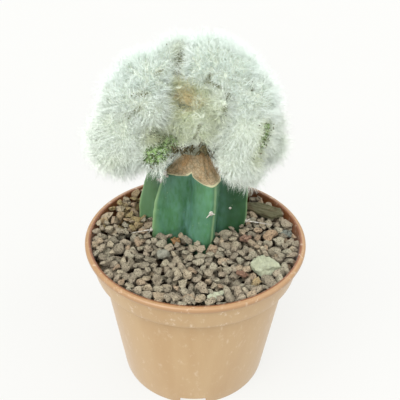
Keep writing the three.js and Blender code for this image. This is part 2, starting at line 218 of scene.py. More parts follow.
def ring_edges(ring: list[BMVert]) -> list[BMEdge]:
    """Lists the edges between the vertices of a ring."""
    members = set(ring)
    edges = dict.fromkeys(edge for vert in ring for edge in vert.link_edges)
    return [edge for edge in edges if set(edge.verts) <= members]


def drawn_up(bm: BMesh, ring: list[BMVert]) -> list[BMVert]:
    """Extrudes a ring of vertices in place and returns the new ring."""
    made = bmesh.ops.extrude_edge_only(bm, edges=ring_edges(ring))["geom"]
    return [item for item in made if isinstance(item, BMVert)]


def shade_smooth(bm: BMesh) -> BMesh:
    """Shades all the faces of a mesh as one curved surface, and returns it."""
    for face in bm.faces:
        face.smooth = True
    return bm


def mark_sharp(bm: BMesh, degrees: float) -> None:
    """Shades a mesh smooth, but for edges that turn by more than an angle in degrees."""
    limit = math.radians(degrees)
    for edge in shade_smooth(bm).edges:
        edge.smooth = edge.is_manifold and edge.calc_face_angle(0.0) < limit


def kept_within(bm: BMesh, node: str, proud: float) -> None:
    """Moves back the vertices that stand out of a CAD node's box by more than proud, in millimetres."""
    low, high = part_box(node)
    for vert in bm.verts:
        vert.co = Vector(min(max(vert.co[i], low[i] - proud * MM), high[i] + proud * MM) for i in range(3))


def struck(rng: Generator, depths: Pair) -> Callable[[Array], Array]:
    """Chooses flat faces to strike off a stone of unit radius, so that it looks crushed rather than rolled.

    Args:
        rng: The source of chance.
        depths: The least and the greatest distance of a face from the middle.

    Returns:
        The move of a place on the ball to its place on the crushed stone.
    """
    cuts = unit(rng.normal(size=(STRUCK_FACES, 3)))
    reaches = rng.uniform(*depths, STRUCK_FACES)

    def move(place: Array) -> Array:
        """Pushes a place in to each face that it lies beyond."""
        for cut, reach in zip(cuts, reaches, strict=True):
            place = place - cut * max(0.0, float(place @ cut) - reach)
        return place

    return move


def paint(mesh: Mesh, name: str, values: Array) -> None:
    """Paints one number a vertex on a mesh, for its material to read."""
    layer = mesh.attributes.new(name, "FLOAT", "POINT")
    layer.data.foreach_set("value", values.astype(np.float32))


# ---- shader graphs
class Graph:
    """Adds nodes to one shader tree and joins them."""

    def __init__(self, tree: NodeTree) -> None:
        """Starts on a tree."""
        self.tree = tree

    def add(self, kind: str, feeds: dict[str | int, Feed] | None = None, **settings: object) -> Node:
        """Adds a node.

        Args:
            kind: The node's type.
            feeds: For each input, by name or number, a socket to link or a value to set.
            settings: The node's own settings.

        Returns:
            The node.
        """
        node = self.tree.nodes.new(kind)
        for key, value in settings.items():
            setattr(node, key, value)
        self.feed(node, feeds or {})
        return node

    def feed(self, node: Node, feeds: dict[str | int, Feed]) -> None:
        """Links or sets a node's inputs.

        Args:
            node: The node.
            feeds: For each input, by name or number, a socket to link or a value to set.
        """
        for key, value in feeds.items():
            if isinstance(value, NodeSocket):
                self.tree.links.new(value, node.inputs[key])
            else:
                node.inputs[key].default_value = value

    def place(self) -> NodeSocket:
        """Gives the place on the object, in metres."""
        return self.add("ShaderNodeTexCoord").outputs["Object"]

    def scaled(self, vector: Feed, scale: Place) -> NodeSocket:
        """Stretches a place by a factor along each axis."""
        return self.add("ShaderNodeMapping", {"Vector": vector, "Scale": scale}).outputs[0]

    def noise(self, vector: Feed, scale: float, detail: float = 3.0, rough: float = 0.55) -> NodeSocket:
        """Gives soft noise, from 0 to 1."""
        feeds = {"Vector": vector, "Scale": scale, "Detail": detail, "Roughness": rough}
        return self.add("ShaderNodeTexNoise", feeds).outputs[0]

    def cells(self, vector: Feed, scale: float, feature: str = "F1") -> NodeSocket:
        """Gives the distance to the nearest cell's middle, in cells."""
        feeds = {"Vector": vector, "Scale": scale}
        return self.add("ShaderNodeTexVoronoi", feeds, feature=feature).outputs["Distance"]

    def band(self, value: Feed, low: float, high: float, first: float = 0.0, last: float = 1.0) -> NodeSocket:
        """Maps low to high on to first to last, smoothly and no further."""
        feeds = {"Value": value, "From Min": low, "From Max": high, "To Min": first, "To Max": last}
        return self.add("ShaderNodeMapRange", feeds, interpolation_type="SMOOTHSTEP").outputs[0]

    def maths(self, operation: str, a: Feed, b: Feed = 0.0, clamp: bool = True) -> NodeSocket:
        """Works out one sum of two values, kept from 0 to 1 unless clamp is off."""
        return self.add("ShaderNodeMath", {0: a, 1: b}, operation=operation, use_clamp=clamp).outputs[0]

    def times(self, a: Feed, b: Feed) -> NodeSocket:
        """Multiplies two shares."""
        return self.maths("MULTIPLY", a, b)

    def ramp(self, value: Feed, stops: Stops) -> NodeSocket:
        """Turns a value into a colour along a list of stops."""
        node = self.add("ShaderNodeValToRGB", {"Fac": value})
        elements = node.color_ramp.elements
        while len(elements) < len(stops):
            elements.new(0.5)
        for element, (place, colour) in zip(elements, stops, strict=True):
            element.position = place
            element.color = colour
        return node.outputs[0]

    def mix(self, share: Feed, a: Feed, b: Feed, blend: str = "MIX") -> NodeSocket:
        """Mixes two colours: a at share 0 and b at share 1."""
        feeds = {0: share, 6: a, 7: b}
        return self.add("ShaderNodeMix", feeds, data_type="RGBA", blend_type=blend).outputs[2]

    def coats(self, base: Feed, *coats: tuple[Feed, Feed]) -> NodeSocket:
        """Lays coats of colour over a base, each to a share that comes before it."""
        for share, colour in coats:
            base = self.mix(share, base, colour)
        return base

    def blend(self, share: Feed, a: Feed, b: Feed) -> NodeSocket:
        """Mixes two numbers: a at share 0 and b at share 1."""
        return self.add("ShaderNodeMix", {0: share, 2: a, 3: b}, data_type="FLOAT").outputs[0]

    def mottled(self, vector: Feed, scale: float, fineness: float) -> NodeSocket:
        """Gives the uneven tone of a natural or worn surface, from 0 to 1."""
        return self.group(mottle(), vector=vector, scale=scale, fineness=fineness)

    def bump(self, height: Feed, distance: float, strength: float = 1.0) -> NodeSocket:
        """Gives the normal of a bumpy surface whose full height is distance, in millimetres."""
        feeds = {"Height": height, "Distance": distance * MM, "Strength": strength}
        return self.add("ShaderNodeBump", feeds).outputs[0]

    def attribute(self, name: str) -> NodeSocket:
        """Reads a number painted on the mesh."""
        return self.add("ShaderNodeAttribute", attribute_name=name).outputs["Fac"]

    def heights(self, vector: Feed) -> NodeSocket:
        """Gives the height of a place, in metres."""
        return self.add("ShaderNodeSeparateXYZ", {0: vector}).outputs["Z"]

    def group(self, tree: NodeTree, **feeds: Feed) -> NodeSocket:
        """Places a shared effect and gives its first output."""
        node = self.add("ShaderNodeGroup", node_tree=tree)
        self.feed(node, {name.title(): value for name, value in feeds.items()})
        return node.outputs[0]

    def dress(self, shader: Node, colour: Feed, normal: Feed = None, rough: Feed = None) -> None:
        """Links a finish's colour and, where they are given, its normal and its roughness to its shader.

        Args:
            shader: The material's main shader.
            colour: The colour.
            normal: The bumpy surface's normal.
            rough: The roughness.
        """
        feeds = {"Base Color": colour, "Normal": normal, "Roughness": rough}
        self.feed(shader, {name: value for name, value in feeds.items() if value is not None})


def effect(**values: float) -> Callable[[Callable[..., Feed]], Callable[[], NodeTree]]:
    """Makes a shared effect, a node group that is built once, of the function that adds its nodes.

    Args:
        values: The group's number inputs with their usual values; it also has a Vector input.

    Returns:
        The decorator of a function that takes a graph and the inputs' sockets and gives the output's socket.
    """

    def wrap(build: Callable[..., Feed]) -> Callable[[], NodeTree]:
        """Turns the function into one that builds the group."""

        @cache
        def built() -> NodeTree:
            """Builds the group."""
            tree = bpy.data.node_groups.new(build.__name__, "ShaderNodeTree")
            tree.interface.new_socket("Vector", in_out="INPUT", socket_type="NodeSocketVector")
            for key, value in values.items():
                socket = tree.interface.new_socket(key.title(), in_out="INPUT", socket_type="NodeSocketFloat")
                socket.default_value = value
            tree.interface.new_socket("Value", in_out="OUTPUT", socket_type="NodeSocketFloat")
            graph = Graph(tree)
            source = graph.add("NodeGroupInput")
            feeds = (source.outputs[key.title()] for key in ("vector", *values))
            graph.add("NodeGroupOutput", {0: build(graph, *feeds)})
            return tree

        return built

    return wrap


@effect(scale=60.0, fineness=0.4)
def mottle(graph: Graph, vector: Feed, scale: Feed, fineness: Feed) -> Feed:
    """Adds the uneven tone of a natural or worn surface: broad patches with fine ones over them."""
    broad = graph.noise(vector, scale, detail=2.0)
    fine = graph.noise(vector, graph.maths("MULTIPLY", scale, 4.3, clamp=False), detail=4.0)
    return graph.band(graph.blend(fineness, broad, fine), 0.3, 0.7)


@effect(scale=900.0, depth=0.6)
def pits(graph: Graph, vector: Feed, scale: Feed, depth: Feed) -> Feed:
    """Adds a pitted, gritty height: fine grain with round holes in it."""
    hole = graph.band(graph.cells(vector, scale), 0.1, 0.42)
    finer = graph.maths("MULTIPLY", scale, 2.1, clamp=False)
    return graph.times(graph.blend(depth, 1.0, hole), graph.noise(vector, finer, detail=5.0, rough=0.7))


@effect(scale=120.0, cover=0.0)
def dust(graph: Graph, vector: Feed, scale: Feed, cover: Feed) -> Feed:
    """Adds a mask of thin dust: small patches with ragged edges."""
    patch = graph.noise(vector, scale, detail=6.0, rough=0.75)
    return graph.band(graph.maths("ADD", patch, cover, clamp=False), 0.62, 0.78)


def blank(name: str, roughness: float, specular: float = 0.5) -> tuple[Material, Graph, Node]:
    """Starts a material.

    Args:
        name: The material's name.
        roughness: Its even roughness, unless a link takes its place.
        specular: Its specular level.

    Returns:
        The material, its graph and its main shader.
    """
    material = bpy.data.materials.new(name)
    material.use_nodes = True
    graph = Graph(material.node_tree)
    shader = material.node_tree.nodes["Principled BSDF"]
    graph.feed(shader, {"Roughness": roughness, "Specular IOR Level": specular})
    return material, graph, shader


# ---- finishes
@dataclass(frozen=True)
class PotPlastic:
    """Terracotta-coloured moulded plastic, a little faded, with dusty scuffs and a dark inside: partly damp,
    partly painted shade.
    """

    body: Colour = tone(172, 138, 92)
    faded: Colour = tone(182, 152, 110)
    lip: Colour = tone(162, 125, 85)
    # The inside's dark brown: partly damp, partly painted shade in the recess under the lip.
    inside: Colour = tone(124, 74, 38)
    dust: Colour = tone(232, 220, 200)
    lip_foot: float = 86.5
    inner_radius: float = 57.6
    collar_slope: float = 0.205

    def material(self) -> Material:
        """Builds the material."""
        material, graph, shader = blank("pot_plastic", 0.42, 0.75)
        place = graph.place()
        streaks = graph.scaled(place, (1.0, 1.0, 0.22))
        fading = graph.mottled(streaks, 42.0, 0.35)
        height = graph.heights(place)
        lip = graph.band(height, (self.lip_foot - 0.4) * MM, self.lip_foot * MM)
        scuffs = graph.group(dust(), vector=graph.scaled(place, (1.0, 1.0, 0.6)), scale=260.0, cover=0.07)
        worn = graph.band(height, 70 * MM, 76 * MM, 0.22, 0.6)
        marks = graph.band(graph.cells(graph.scaled(place, (1.0, 1.0, 0.3)), 190.0), 0.03, 0.17, 0.2, 0.0)
        colour = graph.coats(
            self.body,
            (fading, self.faded),
            (lip, self.lip),
            (self._inside_damp_and_shade(graph, place, height), self.inside),
            (graph.times(scuffs, worn), self.dust),
            (graph.times(marks, graph.band(fading, 0.35, 0.65)), self.dust),
        )
        gloss = graph.band(fading, 0.0, 1.0, 0.34, 0.5)
        graph.dress(shader, colour, self._mould_texture(graph, place), gloss)
        graph.feed(shader, {"Sheen Weight": 0.2, "Sheen Roughness": 0.35})
        return material

    def _inside_damp_and_shade(self, graph: Graph, place: Feed, height: Feed) -> NodeSocket:
        """Marks the inner wall, painted dark as partly damp and partly painted shade: what lies nearer the
        axis than the middle of the sloping wall.
        """
        flat = graph.add("ShaderNodeVectorMath", {0: place, 1: (1.0, 1.0, 0.0)}, operation="MULTIPLY")
        radius = graph.add("ShaderNodeVectorMath", {0: flat.outputs[0]}, operation="LENGTH").outputs["Value"]
        slope = graph.maths("MULTIPLY", height, -self.collar_slope, clamp=False)
        reach = graph.maths("ADD", radius, slope, clamp=False)
        limit = self.inner_radius - self.collar_slope * 88
        inner = graph.band(reach, (limit - 0.15) * MM, (limit + 0.15) * MM, 1.0, 0.0)
        return graph.times(inner, graph.band(height, 75.6 * MM, 75.8 * MM))

    @staticmethod
    def _mould_texture(graph: Graph, place: Feed) -> NodeSocket:
        """Gives the normal of the mould's fine peel and drawn lines."""
        peel = graph.noise(place, 900.0, detail=2.0)
        drawn = graph.noise(graph.scaled(place, (1.0, 1.0, 0.06)), 500.0, detail=2.0)
        height = graph.maths("ADD", graph.times(peel, 0.4), graph.times(drawn, 0.6))
        return graph.bump(height, 0.09, 0.7)


@dataclass(frozen=True)
class StockSkin:
    """Smooth green skin with a blue waxy bloom, with painted highlights along the rib edges and painted light
    and shade across its sides.
    """

    deep: Colour = tone(52, 96, 60)
    green: Colour = tone(82, 134, 86)
    bloom: Colour = tone(106, 152, 140)
    # Painted shade for the right side and painted light for the left side, as the light falls.
    shaded: Colour = tone(38, 74, 40)
    painted_lit_side: Colour = tone(112, 148, 98)
    # Painted highlight along the rib edges.
    edge: Colour = tone(160, 194, 140)
    scar: Colour = tone(176, 180, 150)

    def material(self) -> Material:
        """Builds the material."""
        material, graph, shader = blank("stock_skin", 0.5, 0.4)
        place = graph.place()
        tall = graph.scaled(place, (1.0, 1.0, 0.35))
        patches = graph.mottled(tall, 60.0, 0.3)
        waxy = graph.mottled(graph.scaled(place, (1.3, 1.3, 0.5)), 110.0, 0.55)
        low = graph.band(graph.heights(place), 84 * MM, 116 * MM, 0.85, 0.35)
        groove = graph.times(graph.attribute("groove"), low)
        waxy = graph.times(waxy, graph.maths("ADD", groove, 0.32))
        across = graph.add("ShaderNodeSeparateXYZ", {0: place}).outputs["X"]
        edge_highlight = graph.band(graph.attribute("edge_highlight"), 0.55, 0.95)
        specks = graph.band(graph.cells(place, 260.0), 0.04, 0.09, 1.0, 0.0)
        colour = graph.coats(
            self.deep,
            (patches, self.green),
            (waxy, self.bloom),
            # Painted shade on the right side and painted light on the left, as the light falls.
            (graph.band(across, 12 * MM, 19 * MM, 0.0, 0.75), self.shaded),
            (graph.band(across, -23 * MM, -19 * MM, 0.55, 0.0), self.painted_lit_side),
            # Painted highlight along the rib edges.
            (graph.times(edge_highlight, 0.6), self.edge),
            (graph.times(specks, 0.45), self.scar),
        )
        grain = graph.bump(graph.noise(tall, 700.0, detail=4.0, rough=0.6), 0.12, 0.6)
        graph.dress(shader, colour, grain, graph.band(waxy, 0.0, 0.8, 0.36, 0.66))
        graph.feed(shader, {"Subsurface Weight": 0.08, "Subsurface Scale": 1.5 * MM})
        graph.feed(shader, {"Subsurface Radius": (0.2, 0.6, 0.15)})
        return material


@dataclass(frozen=True)
class CutCork:
    """Dry corky tissue of a healed cut: tan, wrinkled, with a cream rim and a brown middle."""

    tan: Colour = tone(228, 208, 172)
    grey: Colour = tone(196, 188, 160)
    rust: Colour = tone(210, 162, 104)
    dark: Colour = tone(126, 98, 72)
    rim: Colour = tone(236, 230, 190)

    def material(self) -> Material:
        """Builds the material."""
        material, graph, shader = blank("cut_cork", 0.9, 0.2)
        place = graph.place()
        fibres = graph.scaled(place, (1.0, 1.0, 0.35))
        inner = graph.attribute("inner")
        rusty = graph.times(graph.mottled(fibres, 190.0, 0.4), graph.band(inner, 0.0, 0.6, 0.15, 0.8))
        spots = graph.band(graph.noise(fibres, 620.0, detail=3.0, rough=0.6), 0.56, 0.7, 0.0, 0.5)
        cracks = graph.band(graph.cells(place, 520.0, "DISTANCE_TO_EDGE"), 0.02, 0.12, 1.0, 0.0)
        # Besides the cracks, this darkens the cork towards the neck.
        cracks = graph.maths("ADD", graph.times(cracks, 0.35), graph.band(inner, 0.8, 1.0, 0.0, 0.5))
        colour = graph.coats(
            self.tan,
            (graph.mottled(place, 240.0, 0.5), self.grey),
            (rusty, self.rust),
            (spots, self.dark),
            (cracks, self.dark),
            (graph.band(graph.attribute("rim"), 0.4, 0.8), self.rim),
        )
        height = graph.group(pits(), vector=graph.scaled(place, (1.0, 1.0, 0.5)), scale=800.0, depth=0.5)
        graph.dress(shader, colour, graph.bump(height, 0.7, 0.8))
        return material


@dataclass(frozen=True)
class Stone:
    """Rough stone whose tone runs along a ramp, by the number painted on each stone, with painted shade in
    its pits and on its lower side.
    """

    name: str
    stops: Stops
    dusting: Colour = tone(176, 160, 142)
    pit_scale: float = 900.0
    pit_depth: float = 0.62
    relief: float = 0.8
    pitted: float = 0.8
    # Painted shade in the pits.
    painted_pit_shade: Colour = tone(48, 38, 32)
    speck: Colour = tone(62, 52, 42)
    shadow: Colour = tone(58, 48, 38)

    def material(self) -> Material:
        """Builds the material."""
        material, graph, shader = blank(self.name, 0.95, 0.25)
        place = graph.place()
        height = graph.group(pits(), vector=place, scale=self.pit_scale, depth=self.pit_depth)
        grit = graph.noise(place, 1300.0, detail=3.0, rough=0.7)
        colour = graph.coats(
            graph.ramp(graph.attribute("tone"), self.stops),
            (graph.times(graph.mottled(place, 330.0, 0.7), 0.45), self.dusting),
            # Painted shade in the pits.
            (graph.band(height, 0.16, 0.5, self.pitted, 0.0), self.painted_pit_shade),
            (graph.band(grit, 0.5, 0.64, 0.0, 0.6 * self.pitted), self.speck),
            # Painted shade on each loose stone's lower side.
            (graph.times(graph.attribute("side"), 0.55), self.shadow),
        )
        graph.dress(shader, colour, graph.bump(height, self.relief, 0.9))
        return material


CREAM = shades((178, 184, 160), (193, 198, 175), (208, 214, 192))
RED = shades((126, 96, 80), (146, 114, 96), (162, 132, 112))
AMBER = shades((132, 98, 62), (158, 122, 84), (178, 146, 112))
SLATE = shades((114, 116, 104), (134, 136, 122), (154, 152, 138))
SLATE_BLUE = shades((104, 112, 106), (122, 128, 120), (142, 144, 134))
BROWN = shades((150, 122, 96), (168, 140, 112), (184, 160, 132))
LAVA_STOPS: Stops = (
    (0.0, tone(118, 111, 98)),
    (0.25, tone(158, 143, 124)),
    (0.45, tone(160, 155, 136)),
    (0.65, tone(172, 155, 130)),
    (0.8, tone(162, 134, 110)),
    (1.0, tone(162, 140, 90)),
)
LAVA = Stone("lava", LAVA_STOPS, tone(198, 189, 160))


@dataclass(frozen=True)
class Mix:
    """Dark crumbly potting mix."""

    crumbs: Stops = shades((24, 17, 13), (58, 43, 33), (96, 76, 60))

    def material(self) -> Material:
        """Builds the material."""
        material, graph, shader = blank("dark_mix", 1.0, 0.2)
        place = graph.place()
        crumbs = graph.group(pits(), vector=place, scale=420.0, depth=0.8)
        graph.dress(shader, graph.ramp(crumbs, self.crumbs), graph.bump(crumbs, 1.2))
        return material


@dataclass(frozen=True)
class Bark:
    """Weathered grey-green chip with streaks along its length."""

    turn: float = -34.0
    rotten: Colour = tone(84, 68, 46)
    fibres: Stops = (
        (0.25, tone(50, 47, 34)),
        (0.42, tone(92, 90, 66)),
        (0.6, tone(118, 114, 88)),
        (0.8, tone(150, 140, 110)),
    )

    def material(self) -> Material:
        """Builds the material."""
        material, graph, shader = blank("weathered_chip", 0.85, 0.3)
        lay = {"Vector": graph.place(), "Rotation": (0.0, 0.0, -math.radians(self.turn))}
        turned = graph.add("ShaderNodeMapping", lay).outputs[0]
        streaks = graph.noise(graph.scaled(turned, (0.12, 1.0, 1.0)), 520.0, detail=6.0, rough=0.65)
        rotten = graph.band(graph.noise(turned, 130.0, detail=3.0), 0.48, 0.62, 0.0, 0.6)
        colour = graph.mix(rotten, graph.ramp(streaks, self.fibres), self.rotten)
        graph.dress(shader, colour, graph.bump(streaks, 0.8))
        return material


@dataclass(frozen=True)
class Horn:
    """Grey-white horny spines and felt."""

    bands: Stops = ((0.3, tone(150, 140, 128)), (0.55, tone(206, 202, 192)), (0.8, tone(230, 228, 220)))

    def material(self) -> Material:
        """Builds the material."""
        material, graph, shader = blank("spine_horn", 0.6, 0.4)
        banding = graph.noise(graph.place(), 800.0, detail=3.0)
        graph.dress(shader, graph.ramp(banding, self.bands))
        return material


@dataclass(frozen=True)
class DryScale:
    """Dark dried scales and flecks."""

    name: str = "dry_scale"
    dark: Colour = tone(44, 40, 26)
    light: Colour = tone(108, 100, 68)

    def material(self) -> Material:
        """Builds the material."""
        material, graph, shader = blank(self.name, 0.8, 0.3)
        patches = graph.mottled(graph.place(), 500.0, 0.5)
        graph.dress(shader, graph.mix(patches, self.dark, self.light))
        return material


@dataclass(frozen=True)
class CrestSkin:
    """The living crest under its wool: felted, with green tubercles where the wool is thin; where it thins
    the skin is painted dull olive, partly its own colour and partly painted shade.
    """

    felt: Colour = tone(232, 239, 224)
    felt_dark: Colour = tone(210, 218, 200)
    olive_and_shade: Colour = tone(122, 126, 96)
    graft: Colour = tone(84, 78, 46)
    green: Colour = tone(158, 188, 128)
    green_dark: Colour = tone(76, 96, 56)

    def material(self) -> Material:
        """Builds the material."""
        material, graph, shader = blank("crest_skin", 0.9, 0.2)
        place = graph.place()
        tufts = graph.mottled(place, 420.0, 0.6)
        knobs = graph.band(graph.cells(place, 480.0), 0.25, 0.75)
        colour = graph.coats(
            self.felt_dark,
            (tufts, self.felt),
            # Where the wool is thin: the skin's own olive, partly painted shade.
            (graph.band(graph.attribute("thin"), 0.1, 0.6, 0.0, 0.85), self.olive_and_shade),
            (graph.attribute("bare"), graph.mix(knobs, self.green, self.green_dark)),
            (graph.attribute("graft"), graph.mix(tufts, self.graft, self.felt_dark)),
        )
        graph.dress(shader, colour, graph.bump(tufts, 0.8, 0.7))
        return material


@dataclass(frozen=True)
class WoolHair:
    """Fine wool: each strand's tone is its place across the map, and it pales from root to tip up the map,
    its darker root being painted shade deep in the coat.
    """

    # The low tones are painted whiter, as painted light from below, and the highest a little darker, as
    # painted shade against the light from above.
    tones: Stops = (
        (0.0, tone(226, 206, 160)),
        (0.2, tone(210, 217, 180)),
        (0.45, tone(249, 255, 246)),
        (0.7, tone(248, 255, 251)),
        (1.0, tone(235, 248, 241)),
    )
    root_shade: Colour = tone(248, 250, 245)
    middle_shade: Colour = tone(253, 254, 252)
    tip_shade: Colour = tone(255, 255, 255)

    def material(self) -> Material:
        """Builds the material."""
        material, graph, shader = blank("wool_hair", 0.85, 0.2)
        strand_map = graph.add("ShaderNodeUVMap", uv_map=MAP).outputs[0]
        parts = graph.add("ShaderNodeSeparateXYZ", {0: strand_map})
        colour = graph.ramp(parts.outputs["X"], self.tones)
        # The root is painted darker, as painted shade deep in the coat.
        painted_root_shade = ((0.0, self.root_shade), (0.45, self.middle_shade), (1.0, self.tip_shade))
        shade = graph.ramp(parts.outputs["Y"], painted_root_shade)
        graph.dress(shader, graph.mix(1.0, colour, shade, "MULTIPLY"))
        return material


# ---- pot
@dataclass
class Pot:
    """The moulded pot: one turned shell with drain holes and foot notches. Sizes are in millimetres."""

    height: float = 90.0
    lip_radius: float = 60.0
    lip_height: float = 3.0
    collar_foot: float = 74.0
    collar_foot_radius: float = 56.0
    collar_head_radius: float = 58.4
    body_head_radius: float = 52.0
    foot_radius: float = 43.0
    wall: float = 1.6
    base_plate: float = 5.0
    ring_width: float = 2.0
    steps: int = 144
    notches: int = 3
    notch_size: Pair = (14.5, 4.6)
    holes: int = 8
    hole_radius: float = 3.5
    hole_circle: float = 27.0
    centre_hole_radius: float = 5.0

    def build(self) -> None:
        """Builds the pot in place of its CAD node."""
        shell = mesh_of("pot_shell", self._turned_shell())
        cutters = self._cutters()
        difference = {"operation": "DIFFERENCE", "solver": "EXACT", "object": cutters}
        cut = with_modifiers(shell, ("BOOLEAN", difference))
        bpy.data.objects.remove(cutters)
        bm = opened(cut)
        bmesh.ops.dissolve_degenerate(bm, edges=bm.edges, dist=0.005 * MM)
        mark_sharp(bm, 34)
        piece = finished("moulded_pot", bm, "pot_plastic", PotPlastic().material())
        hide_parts("pot")

    def _profile(self) -> list[Pair]:
        """Lists the shell's outline as radius and height, from the base's underside over the lip to its top.

        Returns:
            The outline's points, in millimetres.
        """
        foot, body, lip = self.foot_radius, self.body_head_radius, self.lip_radius
        shelf, head, arc = self.collar_foot_radius, self.collar_head_radius, self._arc
        top, step, wall = self.height, self.collar_foot, self.wall
        lip_foot = top - self.lip_height
        plate_top = self.base_plate + wall
        foot_inner = foot - self.ring_width
        return [
            (0.0, self.base_plate),
            (foot_inner - 0.6, self.base_plate),
            (foot_inner, self.base_plate - 0.6),
            (foot_inner, 0.4),
            (foot_inner + 0.4, 0.0),
            *arc(foot - 0.6, 0.6, 0.6, -90, 0, 4),
            (foot + 0.9, 8.0),
            (body - 0.25, step - 2.2),
            *arc(body + 0.6, step - 0.9, 0.8, 180, 90, 4),
            (shelf - 0.9, step - 0.1),
            *arc(shelf - 0.7, step + 0.7, 0.8, -90, 0, 4),
            (shelf + 0.35, step + 2.4),
            (head, lip_foot - 0.6),
            *arc(head + 0.5, lip_foot - 0.5, 0.5, 180, 90, 3),
            *arc(lip - 0.9, lip_foot + 0.9, 0.9, -90, 0, 4),
            *arc(lip - 1.2, top - 1.2, 1.2, 0, 90, 5),
            *arc(head - wall + 0.8, top - 0.8, 0.8, 90, 180, 4),
            (shelf - wall + 0.1, step + wall + 0.2),
            (body - wall + 0.4, step + wall - 0.6),
            (body - wall, step - 1.0),
            (foot - wall + 1.0, plate_top + 1.0),
            (foot - wall - 0.4, plate_top),
            (0.0, plate_top),
        ]

    @staticmethod
    def _arc(x: float, z: float, radius: float, start: float, end: float, count: int) -> list[Pair]:
        """Lists points along an arc from one angle to another, in degrees."""
        angles = np.radians(np.linspace(start, end, count))
        return [(x + radius * math.cos(a), z + radius * math.sin(a)) for a in angles]

    def _turned_shell(self) -> BMesh:
        """Spins the outline about the Z axis."""
        bm = bmesh.new()
        verts = [bm.verts.new((radius * MM, 0.0, height * MM)) for radius, height in self._profile()]
        edges = [bm.edges.new(pair) for pair in pairwise(verts)]
        turn = {"cent": (0, 0, 0), "axis": (0, 0, 1), "angle": math.tau, "steps": self.steps}
        bmesh.ops.spin(bm, geom=verts + edges, use_merge=True, **turn)
        bmesh.ops.remove_doubles(bm, verts=bm.verts, dist=SAME_PLACE)
        bmesh.ops.recalc_face_normals(bm, faces=bm.faces)
        return bm

    def _cutters(self) -> Object:
        """Makes the notches' blocks and the drain holes' plugs as one object for a boolean cut."""
        bm = bmesh.new()
        width, height = self.notch_size
        out = Matrix.Translation((self.foot_radius * MM, 0, 0))
        size = Matrix.Diagonal((8 * MM, width * MM, 2 * height * MM, 1))
        for i in range(self.notches):
            turn = Matrix.Rotation(i * math.tau / self.notches - math.pi / 2, 4, "Z")
            block = bmesh.ops.create_cube(bm, size=1.0)["verts"]
            bmesh.ops.transform(bm, matrix=turn @ out @ size, verts=block)
        upper = [edge for edge in bm.edges if all(vert.co.z > 0 for vert in edge.verts)]
        bmesh.ops.bevel(bm, geom=upper, offset=0.5 * MM, segments=2, profile=0.5, affect="EDGES", material=-1)
        spots = [(0.0, 0.0, self.centre_hole_radius)]
        for i in range(self.holes):
            angle = (i + 0.5) * math.tau / self.holes
            x, y = self.hole_circle * math.cos(angle), self.hole_circle * math.sin(angle)
            spots.append((x, y, self.hole_radius))
        for x, y, radius in spots:
            at = Matrix.Translation((x * MM, y * MM, (self.base_plate + self.wall / 2) * MM))
            size = {"radius1": radius * MM, "radius2": radius * MM, "depth": 4 * MM}
            bmesh.ops.create_cone(bm, cap_ends=True, segments=24, matrix=at, **size)
        return linked("cutters", mesh_of("cutters", bm))


